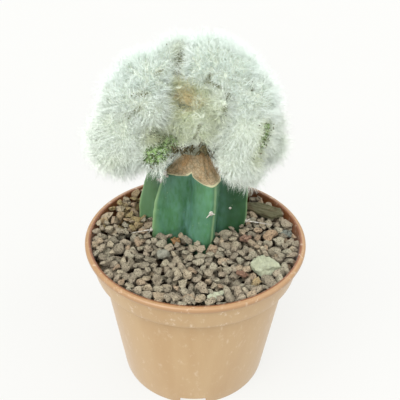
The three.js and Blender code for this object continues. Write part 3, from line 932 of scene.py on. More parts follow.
# ---- rootstock
@dataclass
class Rootstock:
    """The ribbed stock: rings of vertices drawn up from a circle, then in over the cut to the neck."""

    axis: Pair = (-0.5, 17.5)
    lean: float = 0.085
    lean_from: float = 85.0
    foot: float = 58.0
    shoulder: float = 124.0
    head: float = 136.0
    neck_radius: float = 8.0
    fall: Pair = (0.075, 0.026)
    ribs: tuple[Pair, ...] = ((-8, 29), (48, 27.5), (110, 28), (171, 33.5), (209, 28), (285, 26))
    groove_radii: Pair = (12.0, 17.0)
    groove_fill: Pair = (108.0, 126.0)
    ridge_roundness: float = 0.06
    highlight_shifts: tuple[float, ...] = (0.0, 0.0, 0.0, 0.0, 0.0, 0.085)
    highlight_reach: float = 0.12
    crowding: float = 0.78
    column: tuple[Pair, ...] = (
        (0.4, 59.5), (0.8, 69.0), (0.97, 80.0), (1.0, 92.0), (0.95, 108.0), (0.82, 126.0), (0.78, 142.0),
    )
    skirt: tuple[Pair, ...] = (
        (44, -5), (28, -2), (20, -1.2), (14, -0.4), (12.3, 2.2), (10.8, 5.2), (9.4, 8.8), (8, 12),
    )
    columns_per_rib: int = 26
    buried_rings: tuple[float, ...] = (59.5, 64.0, 69.0, 75.0)
    first_seen_ring: float = 80.0
    seen_rings: int = 44
    skirt_rings: int = 22
    rim_width: float = 0.03
    neck_from: float = 0.93
    neck_span: float = 0.07
    neck_taper: float = 0.25
    roots: int = 5
    root_path: tuple[Pair, ...] = ((4.0, 64.0), (14.0, 59.5), (23.0, 49.0), (25.0, 36.0))
    root_radius: float = 2.6

    def outline(self, share: float, z: float) -> Place:
        """Follows the ribs' outline.

        Args:
            share: The share of the way round, from the first rib.
            z: The height, in millimetres.

        Returns:
            The direction in radians, the reach in millimetres and the closeness to a rib's edge, from 0 to 1.
        """
        place = share * len(self.ribs)
        start = math.floor(place + 1e-6)
        along = place - start
        (angle, reach), (next_angle, next_reach) = (self.ribs[(start + i) % len(self.ribs)] for i in (0, 1))
        span = (next_angle - angle + 360) % 360
        from_ridge = 2 * min(along, 1 - along)
        rise = 1 + self.ridge_roundness - math.hypot(from_ridge, self.ridge_roundness)
        groove = float(np.interp(z, self.groove_fill, self.groove_radii))
        full = reach + (next_reach - reach) * along
        return math.radians(angle + span * along), groove + (full - groove) * rise, rise

    def highlight_nearness(self, share: float) -> float:
        """Gives how near a place is to the painted highlight line along a rib's edge, from 0 to 1."""
        place, half = share * len(self.ribs), len(self.ribs) / 2
        lines = (i + shift for i, shift in enumerate(self.highlight_shifts))
        gaps = [abs((place - line + half) % (2 * half) - half) for line in lines]
        return max(0.0, 1 - min(gaps) / self.highlight_reach)

    def column_place(self, number: int) -> float:
        """Gives the share of the way round of a column of vertices; they crowd at the ribs' edges."""
        rib, place = divmod(number / self.columns_per_rib, 1)
        return (rib + place - self.crowding * math.sin(math.tau * place) / math.tau) / len(self.ribs)

    def column_share(self, z: float) -> float:
        """Gives the share of the full outline that the stock holds at a height."""
        shares, heights = zip(*self.column, strict=True)
        return float(np.interp(z, heights, shares))

    def drift(self, z: float) -> float:
        """Gives how far the stock has leant towards +X at a height."""
        return self.lean * max(0.0, z - self.lean_from)

    def edge_place(self, rib: int, z: float) -> tuple[Vector, Vector]:
        """Gives the place on a rib's edge at a height, in millimetres, and the direction outwards."""
        degrees, reach = self.ribs[rib]
        out = Vector((math.cos(math.radians(degrees)), math.sin(math.radians(degrees)), 0.0))
        base = Vector((self.axis[X] + self.drift(z), self.axis[Y], z))
        return base + out * reach * self.column_share(z), out

    def cut_height(self, x: float, y: float) -> float:
        """Gives the height of the cut's surface at a distance from the axis."""
        radii, rises = zip(*reversed(self.skirt), strict=True)
        rise = float(np.interp(math.hypot(x, y), radii, rises))
        return self.shoulder + rise - self.fall[X] * x + self.fall[Y] * y

    def rim_height(self, share: float) -> float:
        """Finds the height at which a column of the ribbed wall meets the cut."""
        z = self.shoulder
        for _ in range(8):
            angle, reach, _ = self.outline(share, z)
            radius = reach * self.column_share(z)
            z = self.cut_height(radius * math.cos(angle) + self.drift(z), radius * math.sin(angle))
        return z

    def build(self) -> None:
        """Builds the stock in place of its CAD node."""
        bm = bmesh.new()
        count = self.columns_per_rib * len(self.ribs)
        number = bm.verts.layers.int.new("column")
        layers = {key: bm.verts.layers.float.new(key) for key in ("edge_highlight", "groove", "inner", "rim")}
        ring = bmesh.ops.create_circle(bm, segments=count, radius=1.0)["verts"]
        for vert in ring:
            turn = math.atan2(vert.co.y, vert.co.x) / math.tau
            vert[number] = round((turn % 1.0) * count) % count
        self._place_wall(ring, number, layers, lambda share: self.foot + 1.5)
        lines = [lambda share, z=z: z for z in self.buried_rings[1:]]
        for i in range(self.seen_rings + 1):
            lines.append(lambda share, t=i / self.seen_rings: self._seen_height(share, t))
        bottom = ring
        for line in lines:
            ring = drawn_up(bm, ring)
            self._place_wall(ring, number, layers, line)
        for i in range(1, self.skirt_rings + 1):
            ring = drawn_up(bm, ring)
            self._place_skirt(ring, number, layers, i / self.skirt_rings)
        self._close(bm, ring, self.head)
        self._close(bm, bottom, self.foot)
        bmesh.ops.recalc_face_normals(bm, faces=bm.faces)
        self._weather(bm, layers)
        self._add_roots(bm)
        for face in shade_smooth(bm).faces:
            face.material_index = int(min(v[layers["rim"]] for v in face.verts) > 0.2)
        skin, cork = StockSkin().material(), CutCork().material()
        piece = finished("grafted_stock", bm, "rootstock_skin", skin, cork)
        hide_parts("rootstock")

    def _seen_height(self, share: float, t: float) -> float:
        """Gives the height of a ring that lies a share t of the way from the dressing to the cut's rim."""
        return self.first_seen_ring + (self.rim_height(share) - self.first_seen_ring) * t

    def _place_wall(self, ring: list, number: object, layers: dict, line: Callable[[float], float]) -> None:
        """Puts a ring on the ribbed wall, at the height that line gives for each share of the way round."""
        for vert in ring:
            share = self.column_place(vert[number])
            z = line(share)
            angle, reach, rise = self.outline(share, z)
            reach *= self.column_share(z)
            x = self.axis[X] + self.drift(z) + reach * math.cos(angle)
            vert.co = Vector((x, self.axis[Y] + reach * math.sin(angle), z)) * MM
            vert[layers["edge_highlight"]] = self.highlight_nearness(share)
            vert[layers["groove"]] = 1 - rise
            vert[layers["inner"]] = 0.0
            vert[layers["rim"]] = 0.0

    def _place_skirt(self, ring: list, number: object, layers: dict, t: float) -> None:
        """Puts a ring on the cut, a share t of the way from the rim to the neck's head."""
        for vert in ring:
            share = self.column_place(vert[number])
            z = self.rim_height(share)
            angle, reach, _ = self.outline(share, z)
            reach *= self.column_share(z)
            start = Vector((reach * math.cos(angle) + self.drift(z), reach * math.sin(angle)))
            rings = t * self.skirt_rings
            # The first ring stays close to the rim, so that the pale rim is a thin line.
            inwards = self.rim_width * rings if rings < 1.5 else min(1.0, t / self.neck_from)
            end = start.normalized() * self.neck_radius
            place = start.lerp(end, inwards)
            if t > self.neck_from:
                place = end * (1 - self.neck_taper * (t - self.neck_from) / self.neck_span)
            height = self.cut_height(place.x, place.y)
            vert.co = Vector((self.axis[X] + place.x, self.axis[Y] + place.y, min(height, self.head))) * MM
            vert[layers["inner"]] = t
            vert[layers["rim"]] = 1.0 if rings < 2.5 else 0.3

    def _close(self, bm: BMesh, ring: list, z: float) -> None:
        """Closes a ring with a fan of faces to a point on the axis."""
        middle = bm.verts.new(Vector((self.axis[X] + self.drift(z), self.axis[Y], z)) * MM)
        for layer in bm.verts.layers.float.values():
            middle[layer] = ring[0][layer]
        for edge in ring_edges(ring):
            bm.faces.new((*edge.verts, middle))

    def _weather(self, bm: BMesh, layers: dict) -> None:
        """Gives the skin its slow swells and the cork its wrinkles."""

        def grown(place: Vector, _: Vector) -> float:
            """Swells the wall slowly."""
            slow = noise.noise(place * 0.055)
            ripple = noise.noise(Vector((place.x * 0.12, place.y * 0.12, place.z * 0.28)) + Vector((9, 4, 2)))
            return 0.55 * slow + 0.3 * ripple

        displace(bm, grown)
        bm.normal_update()
        for vert in bm.verts:
            inner = vert[layers["inner"]]
            if inner <= 0:
                continue
            place = vert.co / MM
            angle = math.atan2(place.y - self.axis[Y], place.x - self.axis[X])
            rays = math.sin(angle * 17 + 2.2 * noise.noise(place * 0.2)) * math.sin(angle * 7 + 1)
            lumps = noise.fractal(place * 0.35, 1.0, 2.1, 3)
            fade = smooth_step(0.0, 0.25, inner) * (1 - smooth_step(0.9, 1.0, inner))
            vert.co += vert.normal * float(fade) * (0.45 * rays + 0.8 * lumps) * MM

    def _add_roots(self, bm: BMesh) -> None:
        """Adds the roots as closed tapering tubes in the mix."""
        for i in range(self.roots):
            angle = i * math.tau / self.roots + 0.3
            reach = 0.8 + 0.2 * math.sin(i * 2.3)
            x, y = reach * math.cos(angle), reach * math.sin(angle)
            points = [Vector((self.axis[X] + r * x, self.axis[Y] + r * y, z)) * MM for r, z in self.root_path]
            radii = np.linspace(self.root_radius, 0.8, len(points)) * MM
            tapered_tube(bm, points, radii, 8)


def tapered_tube(bm: BMesh, points: list[Vector], radii: Array, sides: int) -> None:
    """Draws a closed tube along points, with a radius at each.

    Args:
        bm: The mesh to add to.
        points: The middle line, in metres.
        radii: One radius a point, in metres.
        sides: How many sides the tube has.
    """
    before = set(bm.faces)
    ring = bmesh.ops.create_circle(bm, cap_ends=True, segments=sides, radius=1.0)["verts"]
    flat = [v.co.copy() for v in ring]
    for i, (point, radius) in enumerate(zip(points, radii, strict=True)):
        if i:
            fresh = drawn_up(bm, ring)
            ring = [min(fresh, key=lambda v, old=old: (v.co - old.co).length) for old in ring]
        tangent = points[min(i + 1, len(points) - 1)] - points[max(i - 1, 0)]
        turn = Vector((0, 0, 1)).rotation_difference(tangent).to_matrix()
        for vert, place in zip(ring, flat, strict=True):
            vert.co = point + turn @ (place * float(radius))
    bmesh.ops.contextual_create(bm, geom=ring)
    bmesh.ops.recalc_face_normals(bm, faces=[face for face in bm.faces if face not in before])


# ---- repeated shapes
@dataclass(frozen=True)
class Template:
    """A closed shape of triangles that a piece repeats many times."""

    places: Array
    faces: Array
    maps: Array

    @classmethod
    def of(cls, bm: BMesh, spot: Callable[[Vector, BMFace], Pair] = lambda place, face: ()) -> "Template":
        """Reads a template from a mesh.

        Args:
            bm: The mesh, which is freed.
            spot: Gives the place on the map of a corner, from its place and its face, if there is a map.

        Returns:
            The template.
        """
        bmesh.ops.triangulate(bm, faces=bm.faces)
        bm.normal_update()
        bm.verts.index_update()
        places = np.array([v.co[:] for v in bm.verts])
        faces = np.array([[v.index for v in face.verts] for face in bm.faces])
        maps = np.array([[spot(v.co, face) for v in face.verts] for face in bm.faces])
        bm.free()
        return cls(places, faces, maps)


def repeated(name: str, faces: Array, places: Array, maps: Array | None = None, smooth: bool = True) -> Mesh:
    """Makes one mesh of many copies of a template.

    Args:
        name: The mesh's name.
        faces: The template's faces.
        places: For each copy, the places of the template's vertices in millimetres.
        maps: For each copy, the places of its faces' corners on the map, if it has one.
        smooth: Whether the faces are shaded as one curved surface.

    Returns:
        The mesh.
    """
    copies, size = places.shape[:2]
    corners = (faces[None] + (np.arange(copies) * size)[:, None, None]).reshape(-1)
    mesh = bpy.data.meshes.new(name)
    mesh.vertices.add(copies * size)
    mesh.vertices.foreach_set("co", (places * MM).astype(np.float32).ravel())
    mesh.loops.add(len(corners))
    mesh.loops.foreach_set("vertex_index", corners.astype(np.int32))
    mesh.polygons.add(len(corners) // 3)
    mesh.polygons.foreach_set("loop_start", np.arange(0, len(corners), 3, dtype=np.int32))
    mesh.polygons.foreach_set("use_smooth", np.full(len(corners) // 3, smooth))
    mesh.update(calc_edges=True)
    if maps is not None:
        mesh.uv_layers.new(name=MAP).uv.foreach_set("vector", maps.astype(np.float32).ravel())
    return mesh


# ---- spines
def chance(seed: float, step: float = 0.0) -> float:
    """Gives a fixed random share for a number."""
    value = math.sin(seed * 127.1 + step * 311.7) * 43758.5453
    return value - math.floor(value)


class Level(Enum):
    """Where an areole sits on its rib's edge."""

    LOWER = "lower"
    UPPER = "upper"


Spine = tuple[float, float, float, float]
BACK_SPINES: tuple[Spine, ...] = ((1.0, 0.35, 0.15, 9.0), (0.8, -0.9, 0.1, 5.0), (0.7, 0.2, -0.5, 4.0))
SHORT_SPINES: tuple[Spine, ...] = ((0.5, -1.0, -0.3, 3.5), (0.8, -0.2, 0.7, 3.0), (0.7, 0.8, 0.2, 2.4))


@dataclass(frozen=True)
class Areole:
    """One areole: its rib, level and height, and its spines.

    A spine is how far it points outwards, sideways and upwards, and its length in millimetres.
    """

    rib: int
    level: Level
    height: float
    spines: tuple[Spine, ...]


@dataclass
class SpineClusters:
    """The spine clusters: at each areole a felt pad with a few thin horny spines."""

    stock: Rootstock
    areoles: tuple[Areole, ...] = (
        Areole(1, Level.LOWER, 88.7, ((1.0, -0.12, 0.04, 15.0), (0.8, 0.5, 0.3, 3.0))),
        Areole(2, Level.LOWER, 91.0, BACK_SPINES),
        Areole(2, Level.UPPER, 109.0, SHORT_SPINES),
        Areole(3, Level.LOWER, 90.5, BACK_SPINES),
        Areole(3, Level.UPPER, 107.5, SHORT_SPINES),
        Areole(4, Level.UPPER, 117.0, SHORT_SPINES),
        Areole(5, Level.LOWER, 88.4, ((1.0, -0.03, 0.12, 11.5), (0.9, 0.6, -0.1, 4.0))),
        Areole(5, Level.UPPER, 119.5, SHORT_SPINES),
        Areole(6, Level.UPPER, 107.0, SHORT_SPINES),
    )
    pad_radius: float = 1.3
    spine_radius: float = 0.38
    bend: float = 0.5
    sides: int = 6
    joints: int = 6

    def build(self) -> None:
        """Builds a piece for each areole, in place of its CAD node."""
        horn = Horn().material()
        for areole in self.areoles:
            name = f"rib_{areole.rib}_{areole.level.value}"
            piece = finished(f"areole_{name}", self._cluster(areole), "spine", horn)
            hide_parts(f"spines_{name}")

    def _cluster(self, areole: Areole) -> BMesh:
        """Makes one areole with its spines."""
        spot, out = self.stock.edge_place(areole.rib - 1, areole.height)
        side = Vector((-out.y, out.x, 0.0))
        seed = areole.height * areole.rib
        bm = bmesh.new()
        pad = bmesh.ops.create_icosphere(bm, subdivisions=2, radius=1.0)["verts"]
        for vert in pad:
            lump = 1 + 0.3 * noise.noise(vert.co * 2.6 + Vector((seed, 0, 0)))
            x, y, z = vert.co * lump * self.pad_radius
            vert.co = (spot + out * (0.55 * x + 0.25) + side * 0.85 * y + Vector((0, 0, 1.1 * z))) * MM
        for i, (outwards, sideways, upwards, length) in enumerate(areole.spines):
            aim = (out * outwards + side * sideways + Vector((0, 0, upwards))).normalized()
            points = []
            for joint in range(self.joints + 1):
                t = joint / self.joints
                sag = Vector((0, 0, -1)) * self.bend * t * t * chance(seed, i + 5)
                points.append((spot + out * 0.3 + aim * length * t + sag) * MM)
            radii = self.spine_radius * (1 - 0.8 * np.linspace(0, 1, self.joints + 1) ** 1.5) * MM
            tapered_tube(bm, points, radii, self.sides)
        return shade_smooth(bm)


@dataclass
class FeltTufts:
    """Small grey tufts of felt on the stock, where old spine cushions were: a place and a size each."""

    tufts: tuple[tuple[Place, float], ...] = (
        ((18.8, 9.0, 100.3), 0.75),
        ((-0.1, 0.0, 111.0), 0.42),
        ((-16.6, 5.0, 124.3), 1.3),
        ((-15.4, 3.8, 123.2), 0.8),
    )

    def build(self) -> None:
        """Builds the tufts as one piece."""
        bm = bmesh.new()
        for i, (place, size) in enumerate(self.tufts):
            for vert in bmesh.ops.create_icosphere(bm, subdivisions=2, radius=1.0)["verts"]:
                lump = 1 + 0.4 * noise.noise(vert.co * 2.4 + Vector((i * 7.0, 0, 0)))
                vert.co = (Vector(place) + vert.co * lump * size) * MM
        finished("felt_tufts", shade_smooth(bm), "spine", Horn().material())


# ---- stones
SMOOTH, GRITTY, FINE = (620.0, 0.35, 1.0), (900.0, 0.6), (900.0, 0.5)


def rock(name: str, stops: Stops, dusting: tuple[int, int, int], *grain: float) -> Stone:
    """Describes a stone by its name, its ramp, its dust's display colour and its grain's numbers."""
    return Stone(name, stops, tone(*dusting), *grain)


@dataclass
class FeatureStones:
    """The stones that stand out in the dressing: each is its CAD solid with worn edges and a rough face."""

    looks: dict[str, tuple[str, Stone]] = field(
        default_factory=lambda: {
            "cream_stone_large": ("cream_stone", rock("cream_rock", CREAM, (182, 182, 144), *SMOOTH, 0.3)),
            "cream_stone_small": ("cream_stone", rock("pale_rock", CREAM, (176, 172, 128), *SMOOTH, 0.35)),
            "red_stone_right": ("red_stone", rock("red_rock", RED, (164, 134, 114), *GRITTY)),
            "red_stone_front": ("red_stone", rock("rust_rock", RED, (150, 118, 94), *GRITTY)),
            "amber_stone": ("amber_stone", rock("amber_rock", AMBER, (150, 118, 78), *GRITTY)),
            "slate_stone_left": ("slate_stone", rock("pale_slate", SLATE, (152, 150, 134), *FINE, 0.8, 0.4)),
            "slate_stone_right": ("slate_stone", rock("blue_slate", SLATE_BLUE, (166, 166, 150), *FINE)),
            "long_stone_right": ("lava_gravel", rock("brown_rock", BROWN, (184, 164, 134))),
        }
    )
    loose: int = 16
    proud: float = 0.3

    def build(self, lava: Material) -> None:
        """Builds each stone.

        Args:
            lava: The material of the loose lava stones.
        """
        for seed, (node, (slot, stone)) in enumerate(self.looks.items()):
            self._stone(node, f"worn_{node}", slot, stone.material(), seed)
        for i, node in enumerate(self.loose_nodes()):
            self._stone(node, f"rough_{node}", "lava_gravel", lava, 20 + i)

    def loose_nodes(self) -> list[str]:
        """Lists the CAD nodes of the loose lava stones."""
        return [f"lava_stone_{i + 1:02}" for i in range(self.loose)]

    def _stone(self, node: str, name: str, slot: str, material: Material, seed: int) -> None:
        """Builds one stone from its CAD solid.

        Args:
            node: The CAD node.
            name: The piece's name.
            slot: The record's material slot.
            material: The stone's material.
            seed: Chooses its faces, its lumps and its tone.
        """
        bm = opened(merged_copy(node))
        low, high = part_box(node)
        size = sum(h - l for l, h in zip(low, high)) / 3
        bmesh.ops.subdivide_edges(bm, edges=bm.edges, cuts=2 if size > 8 * MM else 1, use_grid_fill=True)
        crush = struck(np.random.default_rng(60 + seed), (0.5, 0.8))
        middle, half = (np.array(low) + np.array(high)) / 2, (np.array(high) - np.array(low)) / 2
        for vert in bm.verts:
            vert.co = Vector(crush((np.array(vert.co) - middle) / half) * half * 1.08 + middle)
        shift = Vector((seed * 3.7, -seed * 1.3, seed))

        def rough(place: Vector, _: Vector) -> float:
            """Gives the stone's chips and lumps."""
            ridges = abs(noise.noise(place * 0.3 + shift)) - 0.25
            lumps, grit = (noise.noise(place * scale + shift) for scale in (0.7, 1.9))
            return 1.9 * ridges + 0.9 * lumps + 0.3 * grit

        displace(bm, rough)
        painted = bm.verts.layers.float.new("tone")
        for vert in bm.verts:
            vert[painted] = (0.37 * seed) % 1.0
        kept_within(bm, node, self.proud)
        mark_sharp(bm, 24)
        piece = finished(name, bm, slot, material)
        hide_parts(node)


@dataclass
class Gravel:
    """The dressing: crushed lava, dropped stone by stone inside the wall and round the stock."""

    stock: Rootstock
    stones: FeatureStones
    level: float = 87.0
    falls: Pair = (0.01, 0.002)
    floor: float = 76.6
    wall: float = 57.0
    wall_foot: float = 55.3
    heap: float = 2.5
    bank: float = 1.3
    wall_rise: float = 5.4
    cell: float = 0.5
    sizes: Pair = (3.8, 6.4)
    tries: int = 14
    templates: int = 14
    sunk: float = 0.35
    most: int = 2200
    patience: int = 130
    taken: float = 500.0

    def build(self, lava: Material) -> None:
        """Builds the dressing in place of its CAD node.

        Args:
            lava: The stones' material.
        """
        shapes = [self._template(seed) for seed in range(self.templates)]
        rng = np.random.default_rng(11)
        rests = self._dropped(rng)
        places, maps, tones = [], [], []
        side = math.ceil(math.sqrt(len(rests)))
        for i, (spot, half, turn) in enumerate(rests):
            shape = shapes[int(rng.integers(self.templates))]
            tilt = Euler((rng.normal(0, 0.25), rng.normal(0, 0.25), turn)).to_matrix()
            places.append((shape.places * half) @ np.array(tilt).T + spot)
            cell = np.array([i % side, i // side])
            maps.append((cell + 0.04 + 0.92 * shape.maps) / side)
            olive = float(smooth_step(-18, -42, spot[X]) * smooth_step(-4, 22, spot[Y]))
            tones.append(min(1.0, 0.8 * rng.random() ** 1.3 + 0.6 * olive))
        mesh = repeated("lava_dressing", shapes[0].faces, np.array(places), np.array(maps), smooth=False)
        size = len(shapes[0].places)
        paint(mesh, "tone", np.repeat(tones, size))
        middles = np.repeat([spot[Z] for spot, _, _ in rests], size)
        tops = np.repeat([half[Z] for _, half, _ in rests], size)
        # Painted shade: marks each stone's lower side, which its material paints darker.
        share = (np.array(places)[..., Z].ravel() - middles) / tops
        paint(mesh, "side", smooth_step(0.45, -0.5, share))
        piece = finished("lava_dressing", mesh, "lava_gravel", lava)
        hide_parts("gravel_bed")

    def _template(self, seed: int) -> Template:
        """Makes one crushed stone of about unit radius: a ball with faces struck off it."""
        bm = bmesh.new()
        bmesh.ops.create_icosphere(bm, subdivisions=2, radius=1.0)
        rng = np.random.default_rng(100 + seed)
        crush = struck(rng, (0.34, 0.68))
        for vert in bm.verts:
            co = crush(np.array(vert.co))
            lump = 1.28 + 0.34 * noise.noise(Vector(co) * 2.1 + Vector((seed, 0, 0)))
            vert.co = Vector(co * lump * rng.uniform(0.93, 1.07))

        def spot(place: Vector, face: BMFace) -> Pair:
            """Lays the upper faces flat in the cell's left half and the lower ones in its right half."""
            upper = face.calc_center_median().z >= 0
            direction = place.normalized()
            spread = 0.24 * math.sqrt(1 / (1 + abs(direction.z)))
            if (direction.z >= 0) != upper:
                spread = 0.24 * math.sqrt(1 / max(0.4, 1 - abs(direction.z)))
            return (0.25 if upper else 0.75) + direction.x * spread, 0.5 + direction.y * spread * 1.9

        return Template.of(bm, spot)

    def _dropped(self, rng: Generator) -> list[tuple[Array, Array, float]]:
        """Drops stones until the dressing is full.

        Args:
            rng: The source of chance.

        Returns:
            For each stone its middle, its half sizes and its turn.
        """
        span = int(self.wall / self.cell) + 6
        line = np.arange(-span, span + 1) * self.cell
        grid_x, grid_y = np.meshgrid(line, line, indexing="ij")
        cone = self.floor + (np.hypot(grid_x, grid_y) - self.wall_foot) * self.wall_rise
        heights = np.maximum(cone, self.floor)
        heights[self._blocked(grid_x, grid_y)] = self.taken
        rests = []
        failed = 0
        while failed < self.patience and len(rests) < self.most:
            smaller = 1 - 0.3 * failed / self.patience
            size = rng.uniform(*self.sizes) / 2 * smaller
            half = size * np.array([1.12, rng.uniform(0.8, 1.0), rng.uniform(0.65, 0.9)])
            turn = rng.uniform(0, math.tau)
            best = self._best_rest(rng, grid_x, grid_y, heights, half, turn)
            if best is None:
                failed += 1
                continue
            failed = 0
            spot, window, cap = best
            heights[window] = np.maximum(heights[window], spot[Z] + cap)
            rests.append((spot, half, turn))
        return rests

    def _blocked(self, grid_x: Array, grid_y: Array) -> Array:
        """Marks the cells outside the wall and those that the stock and the larger stones take."""
        blocked = np.hypot(grid_x, grid_y) > self.wall
        middle = np.array(self.stock.axis)
        angles, reaches = zip(*(self.stock.outline(i / 360, self.level)[:2] for i in range(360)), strict=True)
        turned = np.mod(np.arctan2(grid_y - middle[Y], grid_x - middle[X]), math.tau)
        order = np.argsort(np.mod(angles, math.tau))
        edge = np.interp(turned, np.mod(angles, math.tau)[order], np.array(reaches)[order], period=math.tau)
        blocked |= np.hypot(grid_x - middle[X], grid_y - middle[Y]) < edge + 0.2
        for node in (*self.stones.looks, *self.stones.loose_nodes()):
            low, high = (np.array(corner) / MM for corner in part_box(node))
            centre, half = (low + high) / 2, (high - low) / 2
            blocked |= np.hypot((grid_x - centre[X]) / half[X], (grid_y - centre[Y]) / half[Y]) < 0.8
        return blocked

    def _best_rest(
        self, rng: Generator, grid_x: Array, grid_y: Array, heights: Array,
        half: Array, turn: float,
    ) -> tuple | None:
        """Finds the lowest of a few chance places where a stone can rest under the dressing's level.

        Args:
            rng: The source of chance.
            grid_x: The cells' places along X, in millimetres.
            grid_y: The cells' places along Y.
            heights: The cells' heights so far.
            half: The stone's half sizes.
            turn: The stone's turn, in radians.

        Returns:
            The stone's middle, the window of cells that it covers and its height over each, or None.
        """
        reach = int(half[0] / self.cell) + 1
        best = None
        for _ in range(self.tries):
            angle, radius = rng.uniform(0, math.tau), (self.wall - half[1]) * math.sqrt(rng.random())
            x, y = radius * math.cos(angle), radius * math.sin(angle)
            i, j = (int(round(c / self.cell)) + grid_x.shape[0] // 2 for c in (x, y))
            window = (slice(i - reach, i + reach + 1), slice(j - reach, j + reach + 1))
            dx, dy = grid_x[window] - x, grid_y[window] - y
            along = (dx * math.cos(turn) + dy * math.sin(turn)) / half[0]
            across = (dy * math.cos(turn) - dx * math.sin(turn)) / half[1]
            inside = 1 - along**2 - across**2
            cap = np.where(inside > 0, half[2] * np.sqrt(np.maximum(inside, 0)), -self.taken)
            z = float(np.max(heights[window] + cap)) - self.sunk
            limit = self.level - x * self.falls[X] - y * self.falls[Y]
            limit += self.heap * float(smooth_step(44, 54, radius))
            from_stock = math.hypot(x - self.stock.axis[X], y - self.stock.axis[Y])
            limit += self.bank * float(smooth_step(34, 27, from_stock))
            if z + 0.4 * half[2] > limit or (best is not None and z >= best[0][Z]):
                continue
            best = (np.array([x, y, z]), window, cap)
        return best


@dataclass
class BarkChip:
    """The weathered chip that leans at the wall: its CAD solid with a split, streaky face."""

    voxel: float = 0.45
    turn: float = -34.0
    proud: float = 0.4

    def build(self) -> None:
        """Builds the chip in place of its CAD node."""
        bm = opened(with_modifiers(merged_copy("bark_chip"), remesh(self.voxel)))
        lay = Matrix.Rotation(-math.radians(self.turn), 3, "Z")

        def split(place: Vector, _: Vector) -> float:
            """Gives the chip's fibres and broken edge."""
            turned = lay @ place
            fibre = noise.noise(Vector((turned.x * 0.12, turned.y * 1.1, turned.z * 1.1)))
            return 0.4 * fibre + 0.25 * noise.noise(place * 0.5)

        displace(bm, split)
        kept_within(bm, "bark_chip", self.proud)
        piece = finished("weathered_chip", shade_smooth(bm), "bark_chip", Bark(self.turn).material())
        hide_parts("bark_chip")


# ---- crest
@dataclass(frozen=True)
class Streak:
    """A round-ended streak on the crest, about a line from start to end, in millimetres."""

    start: Place
    end: Place
    radius: float

    def _offset(self, points: Array) -> Array:
        """Gives the step to each point from the nearest place on the streak's line."""
        start, span = np.array(self.start), np.array(self.end) - np.array(self.start)
        along = np.clip((points - start) @ span / max(float(span @ span), 1e-9), 0, 1)
        return points - start - along[:, None] * span

    def ratio(self, points: Array) -> Array:
        """Gives the distance of each point from the streak's line, in its radii."""
        return np.linalg.norm(self._offset(points), axis=1) / self.radius

    def nearness(self, points: Array) -> Array:
        """Gives 1 in the middle of the streak, down to 0 outside it, for each point."""
        return 1 - smooth_step(0.45, 1.25, self.ratio(points))

    def away(self, points: Array) -> Array:
        """Gives, for each point, the direction away from the streak's line."""
        return unit(self._offset(points))


@dataclass(frozen=True)
class Parting(Streak):
    """A streak where the wool thins out.

    left is the share of the wool that stays in its middle, and green how fresh the skin looks there.
    """

    left: float = 0.3
    green: float = 0.0


@dataclass(frozen=True)
class Tint(Streak):
    """A streak where the wool takes another tone of the strands' ramp, to a share."""

    tone: float = 0.2
    share: float = 0.6


PARTINGS = (
    Parting((-21.0, -11.4, 142.6), (-13.2, -5.8, 146.0), 5.2, 0.22, 1.0),
    Parting((34.0, -6.5, 156.0), (32.4, -7.8, 150.5), 3.6, 0.1, 0.8),
    Parting((31.0, -9.0, 147.5), (29.2, -9.8, 143.0), 3.2, 0.3, 0.7),
    Parting((-21.5, -3.6, 151.5), (-13.3, -2.9, 148.6), 3.0, 0.5, 0.3),
    Parting((-8.0, 3.5, 163.0), (-2.0, -2.0, 163.6), 1.8, 0.5),
    Parting((-9.5, 2.5, 166.5), (-5.0, 1.0, 163.0), 4.2, 0.76),
    Parting((1.2, -7.7, 158.1), (-1.1, -8.3, 151.1), 1.4, 0.5),
    Parting((1.4, -8.0, 152.0), (2.8, -8.0, 146.5), 1.5, 0.45),
    Parting((-29.9, -1.4, 169.2), (-24.0, 0.6, 169.6), 1.8, 0.55),
    Parting((-32.9, -4.3, 160.6), (-27.2, -3.1, 164.2), 2.2, 0.6),
    Parting((-20.6, 7.6, 176.5), (-18.3, 9.6, 177.3), 1.6, 0.5),
    Parting((5.5, 5.5, 177.8), (4.6, 4.5, 174.7), 1.6, 0.4),
    Parting((4.6, 4.5, 174.7), (11.2, 1.5, 173.1), 1.5, 0.4),
    Parting((14.1, -0.6, 170.3), (12.1, -7.2, 165.3), 1.9, 0.45, 0.1),
    Parting((22.5, 6.0, 178.0), (25.2, -0.1, 173.0), 1.5, 0.5),
    Parting((-9.4, 20.0, 181.5), (-10.0, 14.5, 173.0), 3.4, 0.45),
    Parting((1, 14, 118), (1.5, 12, 143), 9.0, 0.0),
)
TINTS = (
    Tint((2.0, -2.0, 168.0), (8.0, -4.0, 163.5), 13.0, 0.2, 0.8),
    Tint((-7.5, 4.0, 168.5), (-4.5, 1.5, 164.5), 11.5, 0.0, 0.9),
    Tint((-22.0, -6.0, 151.0), (-12.0, -3.0, 149.5), 8.5, 0.14, 0.8),
    # Painted shadow in the cleft at the top.
    Tint((-9.4, 20.0, 182.0), (-10.0, 13.5, 172.0), 7.0, 0.2, 0.8),
    Tint((-9.0, -1.0, 157.0), (1.0, -8.0, 153.0), 10.0, 0.2, 0.75),
    Tint((33.0, -8.0, 156.0), (29.0, -10.0, 143.0), 8.0, 0.2, 0.8),
    # Painted light: the lower right lobe is evened to a pale tone where a shadow falls.
    Tint((41.0, 3.0, 143.0), (40.0, 7.0, 135.0), 9.0, 0.55, 0.7),
)


